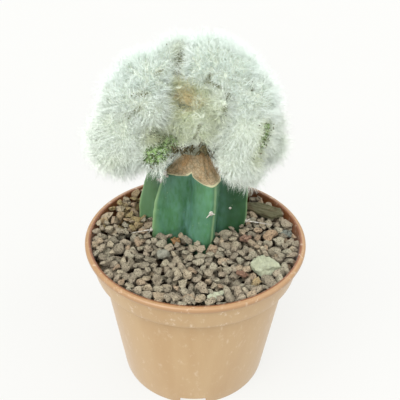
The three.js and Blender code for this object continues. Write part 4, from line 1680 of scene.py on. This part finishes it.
@dataclass(frozen=True)
class Arch:
    """The arch in front of the graft, which the wool leaves open: a level top between two falling sides.

    A side is its height at x = 0 and its rise along X. The arch reaches back to a Y, and leans with it.
    """

    top: float = 141.0
    left: Pair = (146.5, 1.24)
    right: Pair = (152.0, -2.6)
    middle: float = -1.0
    half_width: float = 14.0
    back: float = 22.0
    front: float = 2.0
    lean: float = 0.53

    def clearance(self, points: Array) -> Array:
        """Gives how far points lie above the arch.

        Args:
            points: Places in millimetres, along the last axis.

        Returns:
            The clearances in millimetres, or 1 where no arch is near.
        """
        x, y, z = points[..., X], points[..., Y], points[..., Z]
        sides = (height + rise * x for height, rise in (self.left, self.right))
        arch = np.minimum(self.top, np.minimum(*sides))
        inside = (np.abs(x - self.middle) < self.half_width) & (y < self.back)
        return np.where(inside, z + self.lean * (y - self.front) - arch, 1.0)


@dataclass(frozen=True)
class Zone:
    """A part of the crest with soft edges: along each axis that it names, where it starts and is full."""

    fades: tuple[tuple[int, float, float], ...]

    def share(self, place: Sequence[float]) -> float:
        """Gives how far a place lies in the zone, from 0 to 1."""
        return math.prod(float(smooth_step(low, high, place[axis])) for axis, low, high in self.fades)


ARCH = Arch()


def cover(points: Array) -> Array:
    """Gives the share of the full wool that each point carries."""
    return math.prod(1 - (1 - parting.left) * parting.nearness(points) for parting in PARTINGS)


def freshness(points: Array) -> Array:
    """Gives how green and bare the skin is at each point."""
    return np.max([parting.green * parting.nearness(points) for parting in PARTINGS], axis=0)


@dataclass
class CrestBody:
    """The folded living body under the wool: the crest's solid drawn in by the wool's depth."""

    depth: float = 3.9
    voxel: float = 1.15
    cleft: Streak = Streak((-9.0, 18.0, 190.0), (-9.8, 8.0, 176.0), 5.0)
    swell: Streak = Streak((-19.0, -1.0, 160.0), (-13.0, 0.0, 154.0), 9.0)
    waist: Zone = Zone(((Z, 170, 161), (Z, 148, 154)))
    left: Zone = Zone(((X, -12, -32), (Z, 176, 170)))
    top: Zone = Zone(((Z, 166, 180), (X, -20, -10)))
    low: Zone = Zone(((X, 24, 34), (Z, 160, 150)))
    hem: Zone = Zone(((X, -13, -22), (Z, 143, 135)))
    cheek: Zone = Zone(((X, -38, -46), (Z, 151, 145), (Z, 133, 139)))
    filled: Zone = Zone(((Z, 146, 154), (Z, 182, 172)))
    fill_share: float = 1.3
    filling: int = 160
    knob_radius: float = 0.47
    knob_gap: float = 0.98

    def build(self) -> Object:
        """Builds the body and the knobs on its bare parts in place of the crest's CAD node.

        Returns:
            The body, for the wool to grow on.
        """
        full = with_modifiers(merged_copy("crest"), remesh(self.voxel), smoothing(6))
        even = with_modifiers(full.copy(), smoothing(self.filling))
        bm = opened(full)
        bm.normal_update()
        for vert in bm.verts:
            hollow = (even.vertices[vert.index].co - vert.co).dot(vert.normal)
            vert.co += vert.normal * (max(0.0, hollow) * self._may_fill(vert.co))
        displace(bm, self._drawn_in)
        drawn = mesh_of("drawn_in", bm)
        bm = opened(with_modifiers(drawn, remesh(self.voxel), smoothing(3)))
        displace(bm, lambda place, _: 0.8 * noise.noise(place * 0.14) + 0.4 * noise.noise(place * 0.35))
        bare, graft, thin = (bm.verts.layers.float.new(key) for key in ("bare", "graft", "thin"))
        places = np.array([v.co[:] for v in bm.verts]) / MM
        for vert, fresh, woolly in zip(bm.verts, freshness(places), cover(places), strict=True):
            vert[bare] = float(fresh)
            vert[thin] = 1 - float(woolly)
            vert[graft] = self._near_graft(vert.co / MM)
        skin = CrestSkin().material()
        body = finished("crest_body", shade_smooth(bm), "crest_wool", skin)
        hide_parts("crest")
        self._knobs(body, skin)
        return body

    @staticmethod
    def _near_graft(place: Vector) -> float:
        """Gives how near a place in millimetres is to the graft, where the skin is brown and dry."""
        reach = math.hypot(place.x - 0.5, place.y - 15)
        return float(smooth_step(149, 145, place.z) * smooth_step(27, 21, reach))

    def _may_fill(self, place: Vector) -> float:
        """Gives how far the hollows between the folds close up at a place: fully, but not round the graft."""
        return self.fill_share * self.filled.share([c / MM for c in place])

    def _drawn_in(self, place: Vector, _: Vector) -> float:
        """Gives how far the surface lies under the wool: less on the neck and in the bare parts.

        Args:
            place: A place on the surface, in millimetres.

        Returns:
            The move along the normal, in millimetres.
        """
        point = np.array([place[:]])
        from_neck = math.hypot(place.x - 1, place.y - 17)
        neck = float(smooth_step(142, 134, place.z) * smooth_step(20, 12, from_neck))
        bare = float(freshness(point)[0])
        cleft, swell = (float(streak.nearness(point)[0]) for streak in (self.cleft, self.swell))
        left = self.left.share(place) * (1 - 0.95 * self.waist.share(place))
        cheek = self.cheek.share(place)
        depth = self.depth - 1.3 * max(left, self.top.share(place)) + 0.9 * self.low.share(place)
        depth += (3.4 + 1.4 * (1 - cheek)) * self.hem.share(place) - 2.4 * cheek
        return -depth * (1 - neck) * (1 - 0.45 * bare) - 5.5 * cleft + 3.0 * swell

    def _knobs(self, body: Object, skin: Material) -> None:
        """Sets the small green knobs on the bare parts of the body."""
        rng = np.random.default_rng(5)
        points, normals = scattered(body.data, 26000, rng)
        fresh = np.flatnonzero(freshness(points) > 0.35)
        radii = (0.75 * self.knob_radius, 1.1 * self.knob_radius)
        beads = Beads("crest_knobs", 2, radii, self.knob_gap, (0.0, 0.3))
        beads.build(points[fresh], normals[fresh], rng, skin, {"bare": 1.0})


@dataclass(frozen=True)
class Beads:
    """Many small round bodies on the crest: their roundness, sizes, spacing and how far out they sit."""

    name: str
    roundness: int
    radii: Pair
    gap: float
    rise: Pair

    def build(
        self, points: Array, normals: Array, rng: Generator, material: Material,
        painted: dict[str, float],
    ) -> None:
        """Builds the beads on those of the points that keep the spacing.

        Args:
            points: Places on the body that may take a bead.
            normals: The body's normals there.
            rng: The source of chance.
            material: The beads' material.
            painted: Numbers to paint on them for their material.
        """
        chosen = []
        for i, point in enumerate(points):
            if all(np.linalg.norm(point - points[k]) > self.gap for k in chosen):
                chosen.append(i)
        bm = bmesh.new()
        bmesh.ops.create_icosphere(bm, subdivisions=self.roundness, radius=1.0)
        shape = Template.of(bm)
        places = []
        for i in chosen:
            turn = Vector((0, 0, 1)).rotation_difference(Vector(normals[i])).to_matrix()
            size = rng.uniform(*self.radii) * np.array([1, 1, 1.25])
            middle = points[i] + normals[i] * rng.uniform(*self.rise)
            places.append((shape.places * size) @ np.array(turn).T + middle)
        mesh = repeated(self.name, shape.faces, np.array(places))
        for name, value in painted.items():
            paint(mesh, name, np.full(len(mesh.vertices), value))
        finished(self.name, mesh, "crest_wool", material)


def triples(items: Sequence, key: str, kind: type = float) -> Array:
    """Reads three numbers of each of a mesh's vertices or triangles.

    Args:
        items: The vertices or triangles.
        key: The name of the numbers.
        kind: The numbers' type.

    Returns:
        The numbers, three a row.
    """
    values = np.zeros(len(items) * 3, dtype=kind)
    items.foreach_get(key, values)
    return values.reshape(-1, 3)


def scattered(mesh: Mesh, count: int, rng: Generator) -> tuple[Array, Array]:
    """Scatters points evenly over a mesh.

    Args:
        mesh: The mesh.
        count: How many points.
        rng: The source of chance.

    Returns:
        The points, in millimetres, and the normals there.
    """
    mesh.calc_loop_triangles()
    corners = triples(mesh.loop_triangles, "vertices", np.int32)
    places, normals = triples(mesh.vertices, "co") / MM, triples(mesh.vertices, "normal")
    a, b, c = (places[corners[:, i]] for i in range(3))
    areas = np.linalg.norm(np.cross(b - a, c - a), axis=1)
    chosen = rng.choice(len(corners), count, p=areas / areas.sum())
    shares = rng.dirichlet((1, 1, 1), count)
    points = np.einsum("nk,nkd->nd", shares, places[corners[chosen]])
    return points, unit(np.einsum("nk,nkd->nd", shares, normals[corners[chosen]]))


@dataclass(frozen=True)
class Hair:
    """One kind of hair: number, length and width, in how many segments, and how it lies, clumps and curls."""

    name: str
    count: int
    length: Pair
    width: float
    segments: int
    lie: float
    clump: float
    curl: float


@dataclass
class WoolCoat:
    """The wool: tufts of fine strands that rise from the body, bend over and hang a little."""

    kinds: tuple[Hair, ...] = (
        Hair("long", 24000, (5.5, 9.5), 0.16, 3, 0.72, 0.28, 0.6),
        Hair("under", 34000, (2.4, 5.2), 0.2, 2, 0.6, 0.25, 0.8),
        Hair("stray", 6500, (6.5, 10.5), 0.13, 3, 0.55, 0.1, 0.5),
    )
    tufts: int = 3600
    piece_limit: int = 190000
    fleck_gap: float = 1.1
    middle: float = 18.0
    strip: Pair = (0.012, 0.97)
    swirls: tuple[Place, ...] = ((0.07, 3.0, 0.7), (0.21, 8.0, 0.9))

    def build(self, body: Object) -> None:
        """Builds the wool in a few pieces, each a sector of the crest.

        Args:
            body: The crest's body.
        """
        rng = np.random.default_rng(3)
        material = WoolHair().material()
        seeds, seed_normals = scattered(body.data, self.tufts, rng)
        seed_ways = self._ways(seeds, seed_normals, rng, 0.45)
        seed_tones = rng.normal(0, 0.035, self.tufts)
        tree = KDTree(self.tufts)
        for i, seed in enumerate(seeds):
            tree.insert(Vector(seed), i)
        tree.balance()
        for hair in self.kinds:
            points, normals = scattered(body.data, hair.count, rng)
            share = cover(points)
            kept = rng.random(hair.count) < np.clip(share * 1.15 - 0.05, 0, 1)
            points, normals, share = points[kept], normals[kept], share[kept]
            nearest = np.array([tree.find(Vector(p))[1] for p in points])
            lines = self._lines(hair, points, normals, share, (seeds[nearest], seed_ways[nearest]), rng)
            tones = self._tones(points, rng) + seed_tones[nearest]
            free = np.all(ARCH.clearance(lines) > 0, axis=1)
            self._sectors(hair, lines[free], tones[free], material, rng)
        self._flecks(body, rng)

    def _flecks(self, body: Object, rng: Generator) -> None:
        """Sets the dark flecks that show in rows where the wool parts, and a few elsewhere."""
        points, normals = scattered(body.data, 9000, rng)
        thin = 1 - cover(points)
        clear = ARCH.clearance(points + normals * 2.0) > 0
        likely = np.where(thin > 0.22, 0.8, 0.003) * clear
        chosen = np.flatnonzero(rng.random(len(points)) < likely)
        beads = Beads("wool_flecks", 1, (0.2, 0.36), self.fleck_gap, (0.5, 2.6))
        material = DryScale("fleck", dark=tone(84, 92, 60), light=tone(128, 126, 92)).material()
        beads.build(points[chosen], normals[chosen], rng, material, {})

    def _ways(self, points: Array, normals: Array, rng: Generator, loose: float) -> Array:
        """Gives the direction in which the wool lies at each point."""
        swirl = sum(noise_vectors(points, scale, seed) * share for scale, seed, share in self.swirls)
        swirl -= normals * np.sum(swirl * normals, axis=1, keepdims=True)
        low = smooth_step(170, 140, points[:, 2])[:, None]
        ways = 0.6 * normals + swirl + np.array([0, 0, -1.0]) * (0.1 + 0.35 * low)
        for parting in PARTINGS:
            near = 1 - smooth_step(0.8, 2.4, parting.ratio(points))
            ways += parting.away(points) * (1.2 * (1 - parting.left) * near)[:, None]
        return unit(ways + rng.normal(0, loose, points.shape))

    def _lines(
        self, hair: Hair, points: Array, normals: Array, share: Array,
        tufts: tuple[Array, Array], rng: Generator,
    ) -> Array:
        """Draws each strand's middle line, a step at a time.

        Args:
            hair: The kind of hair.
            points: The roots.
            normals: The body's normals there.
            share: The wool's cover there.
            tufts: The root and the direction of each strand's tuft.
            rng: The source of chance.

        Returns:
            For each strand the points of its line.
        """
        seeds, seed_ways = tufts
        count = len(points)
        length = rng.uniform(*hair.length, count) * (0.4 + 0.6 * share)
        own = self._ways(points, normals, rng, 0.4)
        way = unit(unit(own * 0.7 + seed_ways * 0.6) * hair.lie + normals * (1 - hair.lie))
        heading = unit(normals + way * 0.25 + rng.normal(0, 0.35, points.shape))
        axis = unit(normals * 0.6 + rng.normal(0, 0.6, points.shape))
        curl = hair.curl * rng.uniform(0.5, 1.3, count)[:, None] * np.sign(rng.normal(size=count))[:, None]
        line, place = [points], points
        for step in range(1, hair.segments + 1):
            t = step / hair.segments
            turned = np.cross(axis, heading) * curl
            heading = unit(heading * 0.75 + way * 0.55 + turned + rng.normal(0, 0.16, points.shape))
            place = place + heading * (length / hair.segments)[:, None]
            target = seeds + seed_ways * (length * t * 0.8)[:, None] + normals * 1.2
            line.append(place + (target - place) * hair.clump * t * t)
        return np.stack(line, axis=1)

    def _tones(self, points: Array, rng: Generator) -> Array:
        """Gives each strand's tone: brownish in the middle, cream low down, bluish white above; the low tones
        are painted whiter as painted light from below, the top a little darker as painted shade.
        """
        # Painted light and shade by height: low strands whiter, the top a little darker.
        tones = 0.52 + 0.28 * smooth_step(148, 178, points[:, 2]) + rng.normal(0, 0.035, len(points))
        tones = tones + 0.12 * noise_vectors(points, 0.09, 21.0)[:, 0]
        for tint in TINTS:
            near = (1 - smooth_step(0.25, 1.05, tint.ratio(points))) * tint.share
            tones = tones * (1 - near) + tint.tone * near
        return np.clip(tones, 0, 1)

    def _sectors(self, hair: Hair, lines: Array, tones: Array, material: Material, rng: Generator) -> None:
        """Makes the strands of one kind, in sectors round the crest.

        Args:
            hair: The kind of hair.
            lines: For each strand the points of its line.
            tones: Each strand's tone.
            material: The wool's material.
            rng: The source of chance.
        """
        shape = self._strand(hair.segments)
        angles = np.arctan2(lines[:, 0, Y] - self.middle, lines[:, 0, X])
        sectors = math.ceil(len(shape.faces) * len(lines) / self.piece_limit)
        for i, members in enumerate(np.array_split(np.argsort(angles), sectors)):
            places = self._swept(shape, hair, lines[members], rng)
            # A strand takes a thin upright strip of the map, at the place of its tone.
            maps = np.repeat(shape.maps[None], len(members), axis=0) * self.strip + np.array([0, 0.015])
            maps[..., 0] += 0.004 + 0.98 * np.clip(tones[members], 0, 1)[:, None, None]
            name = f"{hair.name}_wool_{i + 1}"
            finished(name, repeated(name, shape.faces, places, maps), "crest_wool", material)

    @staticmethod
    def _strand(segments: int) -> Template:
        """Makes the closed three-sided strand that all are drawn from, one unit a segment."""
        bm = bmesh.new()
        ring = bmesh.ops.create_circle(bm, cap_ends=True, segments=3, radius=1.0)["verts"]
        for level in range(1, segments + 1):
            ring = drawn_up(bm, ring)
            for vert in ring:
                vert.co.z = level
        bmesh.ops.pointmerge(bm, verts=ring, merge_co=(0, 0, segments))
        bmesh.ops.recalc_face_normals(bm, faces=bm.faces)

        def side(place: Vector) -> int | None:
            """Gives the number of a vertex round the strand, or None at the tip."""
            return None if place.xy.length < 0.1 else round(math.atan2(place.y, place.x) / (math.tau / 3)) % 3

        def spot(place: Vector, face: BMFace) -> Pair:
            """Lays each side of the strand in its own third of the width, from root to tip."""
            numbers = [side(v.co) for v in face.verts]
            if None not in numbers and len(set(numbers)) == 3:
                return numbers[[v.co == place for v in face.verts].index(True)] / 3, 0.0
            wraps = 0 in numbers and 2 in numbers
            values = [3 if n == 0 and wraps else n for n in numbers if n is not None]
            own = side(place)
            across = sum(values) / len(values) if own is None else (3 if own == 0 and wraps else own)
            return across / 3, place.z / segments

        return Template.of(bm, spot)

    @staticmethod
    def _swept(shape: Template, hair: Hair, lines: Array, rng: Generator) -> Array:
        """Bends the strand along each line and tapers it."""
        tangents = unit(np.gradient(lines, axis=1))
        aside = unit(np.cross(tangents, unit(rng.normal(size=(len(lines), 1, 3)))))
        over = np.cross(tangents, aside)
        level = np.rint(shape.places[:, 2]).astype(int)
        taper = 1 - 0.8 * (level / hair.segments) ** 1.4
        width = hair.width / 2 * rng.uniform(0.8, 1.2, len(lines))[:, None, None] * taper[None, :, None]
        round_it = aside[:, level] * shape.places[None, :, :1] + over[:, level] * shape.places[None, :, 1:2]
        return lines[:, level] + round_it * width


@dataclass
class DryScales:
    """The dark dried scales and old spines that stick out between the cork and the wool.

    A slip is its root, its way, its length and its width.
    """

    slips: tuple[tuple[Place, Place, float, float], ...] = (
        ((-8.6, -5.6, 144.6), (0.3, -0.2, -1.0), 3.4, 1.2),
        ((-7.4, -6.2, 145.0), (0.9, -0.3, -0.5), 3.8, 1.3),
        ((-5.6, -6.6, 145.6), (-0.5, -0.3, -0.9), 3.0, 1.0),
        ((-9.6, -5.0, 143.4), (-0.6, -0.4, -0.8), 3.0, 0.9),
        ((0.6, -8.0, 146.6), (0.2, -0.3, 1.0), 4.4, 0.7),
        ((1.4, -8.2, 146.4), (0.7, -0.3, -0.6), 4.2, 2.1),
        ((2.6, -8.2, 147.4), (0.6, -0.2, -1.0), 5.0, 2.0),
        ((4.0, -7.8, 146.6), (-0.2, -0.3, -1.0), 3.6, 1.4),
        ((5.6, -6.2, 143.0), (0.6, -0.4, -0.9), 3.0, 0.8),
        ((6.8, -5.2, 140.8), (0.9, -0.4, -0.7), 3.0, 0.7),
        ((8.0, -4.4, 138.6), (0.8, -0.5, -0.6), 2.8, 0.6),
        ((-11.4, -4.0, 139.4), (-0.7, -0.5, -0.5), 2.6, 0.6),
        ((-3.0, -7.2, 145.2), (0.4, -0.4, -0.8), 1.8, 0.6),
    )
    rim: tuple[Place, Place] = ((-10.5, -4.8, 145.2), (6.5, -6.6, 145.0))
    shreds: int = 46

    def build(self) -> None:
        """Builds the scales as one piece of closed, bent slips."""
        bm = bmesh.new()
        for i, (root, way, length, width) in enumerate(self.slips):
            aim = Vector(way).normalized()
            for k in range(2):
                seed = i * 2 + k
                spread = Vector((chance(seed, 1) - 0.5, 0.5 * (chance(seed, 2) - 0.5), chance(seed, 3) - 0.5))
                curl = Vector((0.8 * (chance(seed, 6) - 0.5), -0.35, 0.5 * (chance(seed, 7) - 0.3)))
                share = 1.0 if k == 0 else 0.6
                steps = np.linspace(0, 1, 7)
                foot = Vector(root) + spread * (0.4 + k)
                line = [(foot + (aim * t + curl * t * t) * length * share) * MM for t in steps]
                radii = width / 2 * share * np.sin(np.pi * (0.22 + 0.74 * steps)) * MM
                tapered_tube(bm, line, radii, 6)
        rng = np.random.default_rng(8)
        start, end = (Vector(place) for place in self.rim)
        for place in np.linspace(-0.15, 1.1, self.shreds):
            root = start.lerp(end, float(place)) + Vector(rng.normal(0, 0.9, 3))
            aim = Vector((*rng.normal(0, 0.8, 2), -0.6)).normalized() + Vector((0, -0.5, 0))
            length = float(rng.uniform(1.4, 3.4))
            steps = np.linspace(0, 1, 5)
            line = [(root + aim * length * t + Vector((0, 0, -0.8 * t * t))) * MM for t in steps]
            radii = rng.uniform(0.2, 0.5) * np.array([0.7, 1.0, 0.9, 0.6, 0.15]) * MM
            tapered_tube(bm, line, radii, 5)
        finished("dry_scales", shade_smooth(bm), "crest_wool", DryScale().material())


# ---- studio
@dataclass
class Studio:
    """The camera, the pale floor and the soft light."""

    place: Place = (0.0, -243.71, 269.57)
    turn: Place = (56.961, -1.0218, 0.1965)
    lens: float = 49.5
    world: float = 0.73
    sky: Colour = tone(254, 254, 252)
    floor_size: float = 4.0
    floor_tones: tuple[Colour, Colour] = (tone(92, 92, 92), tone(95, 95, 95))
    glow: Colour = tone(254, 254, 251)
    floor_glow: float = 0.78
    lamps: tuple[tuple[Place, float, float], ...] = (
        ((-0.45, -0.6, 0.95), 55.0, 2.9),
        ((0.9, -0.4, 0.9), 50.0, 0.95),
        ((0.1, 0.8, 0.9), 50.0, 0.5),
    )

    def build(self) -> None:
        """Sets the studio up."""
        self._camera()
        self._floor()
        self._world()
        for i, (way, spread, power) in enumerate(self.lamps):
            self._lamp(f"soft_light_{i + 1}", way, spread, power)
        bpy.context.scene.view_settings.view_transform = "Standard"

    def _camera(self) -> None:
        """Sets the camera up."""
        camera = bpy.data.cameras.new("camera")
        camera.lens = self.lens
        camera.sensor_width = 36
        camera.clip_start = 0.01
        holder = linked("camera", camera)
        holder.location = Vector(self.place) * MM
        holder.rotation_euler = [math.radians(a) for a in self.turn]
        bpy.context.scene.camera = holder

    def _floor(self) -> None:
        """Lays the floor."""
        bm = bmesh.new()
        bmesh.ops.create_grid(bm, x_segments=2, y_segments=2, size=self.floor_size)
        material, graph, shader = blank("pale_floor", 0.9, 0.1)
        graph.dress(shader, graph.mix(graph.noise(graph.place(), 6.0), *self.floor_tones))
        graph.feed(shader, {"Emission Color": self.glow, "Emission Strength": self.floor_glow})
        floor = linked("floor", mesh_of("floor", bm))
        floor.data.materials.append(material)

    def _world(self) -> None:
        """Lights the scene evenly from all round."""
        world = bpy.data.worlds.new("white_room")
        world.use_nodes = True
        feeds = {"Color": self.sky, "Strength": self.world}
        Graph(world.node_tree).feed(world.node_tree.nodes["Background"], feeds)
        bpy.context.scene.world = world

    def _lamp(self, name: str, way: Place, spread: float, power: float) -> None:
        """Adds one wide soft light that is even over the floor.

        Args:
            name: Its name.
            way: The direction that it comes from.
            spread: Its width as it is seen from the plant, in degrees.
            power: Its strength.
        """
        lamp = bpy.data.lights.new(name, "SUN")
        lamp.energy = power
        lamp.angle = math.radians(spread)
        holder = linked(name, lamp)
        holder.location = Vector(way)
        holder.rotation_euler = (-Vector(way)).to_track_quat("-Z", "Y").to_euler()


def dress_mix() -> None:
    """Gives the potting mix's CAD node its finish."""
    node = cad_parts["potting_mix"]
    node.data.materials.clear()
    node.data.materials.append(Mix().material())


def main() -> None:
    """Builds every piece in order and sets the studio up."""
    logging.basicConfig(level=logging.INFO, format="%(name)s: %(message)s", stream=sys.stdout)
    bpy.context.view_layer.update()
    lava = LAVA.material()
    Pot().build()
    dress_mix()
    stock = Rootstock()
    stock.build()
    SpineClusters(stock).build()
    FeltTufts().build()
    stones = FeatureStones()
    stones.build(lava)
    Gravel(stock, stones).build(lava)
    BarkChip().build()
    WoolCoat().build(CrestBody().build())
    DryScales().build()
    Studio().build()
    bpy.context.view_layer.update()
    LOG.info("boxes written")


if __name__ == "__main__":
    main()
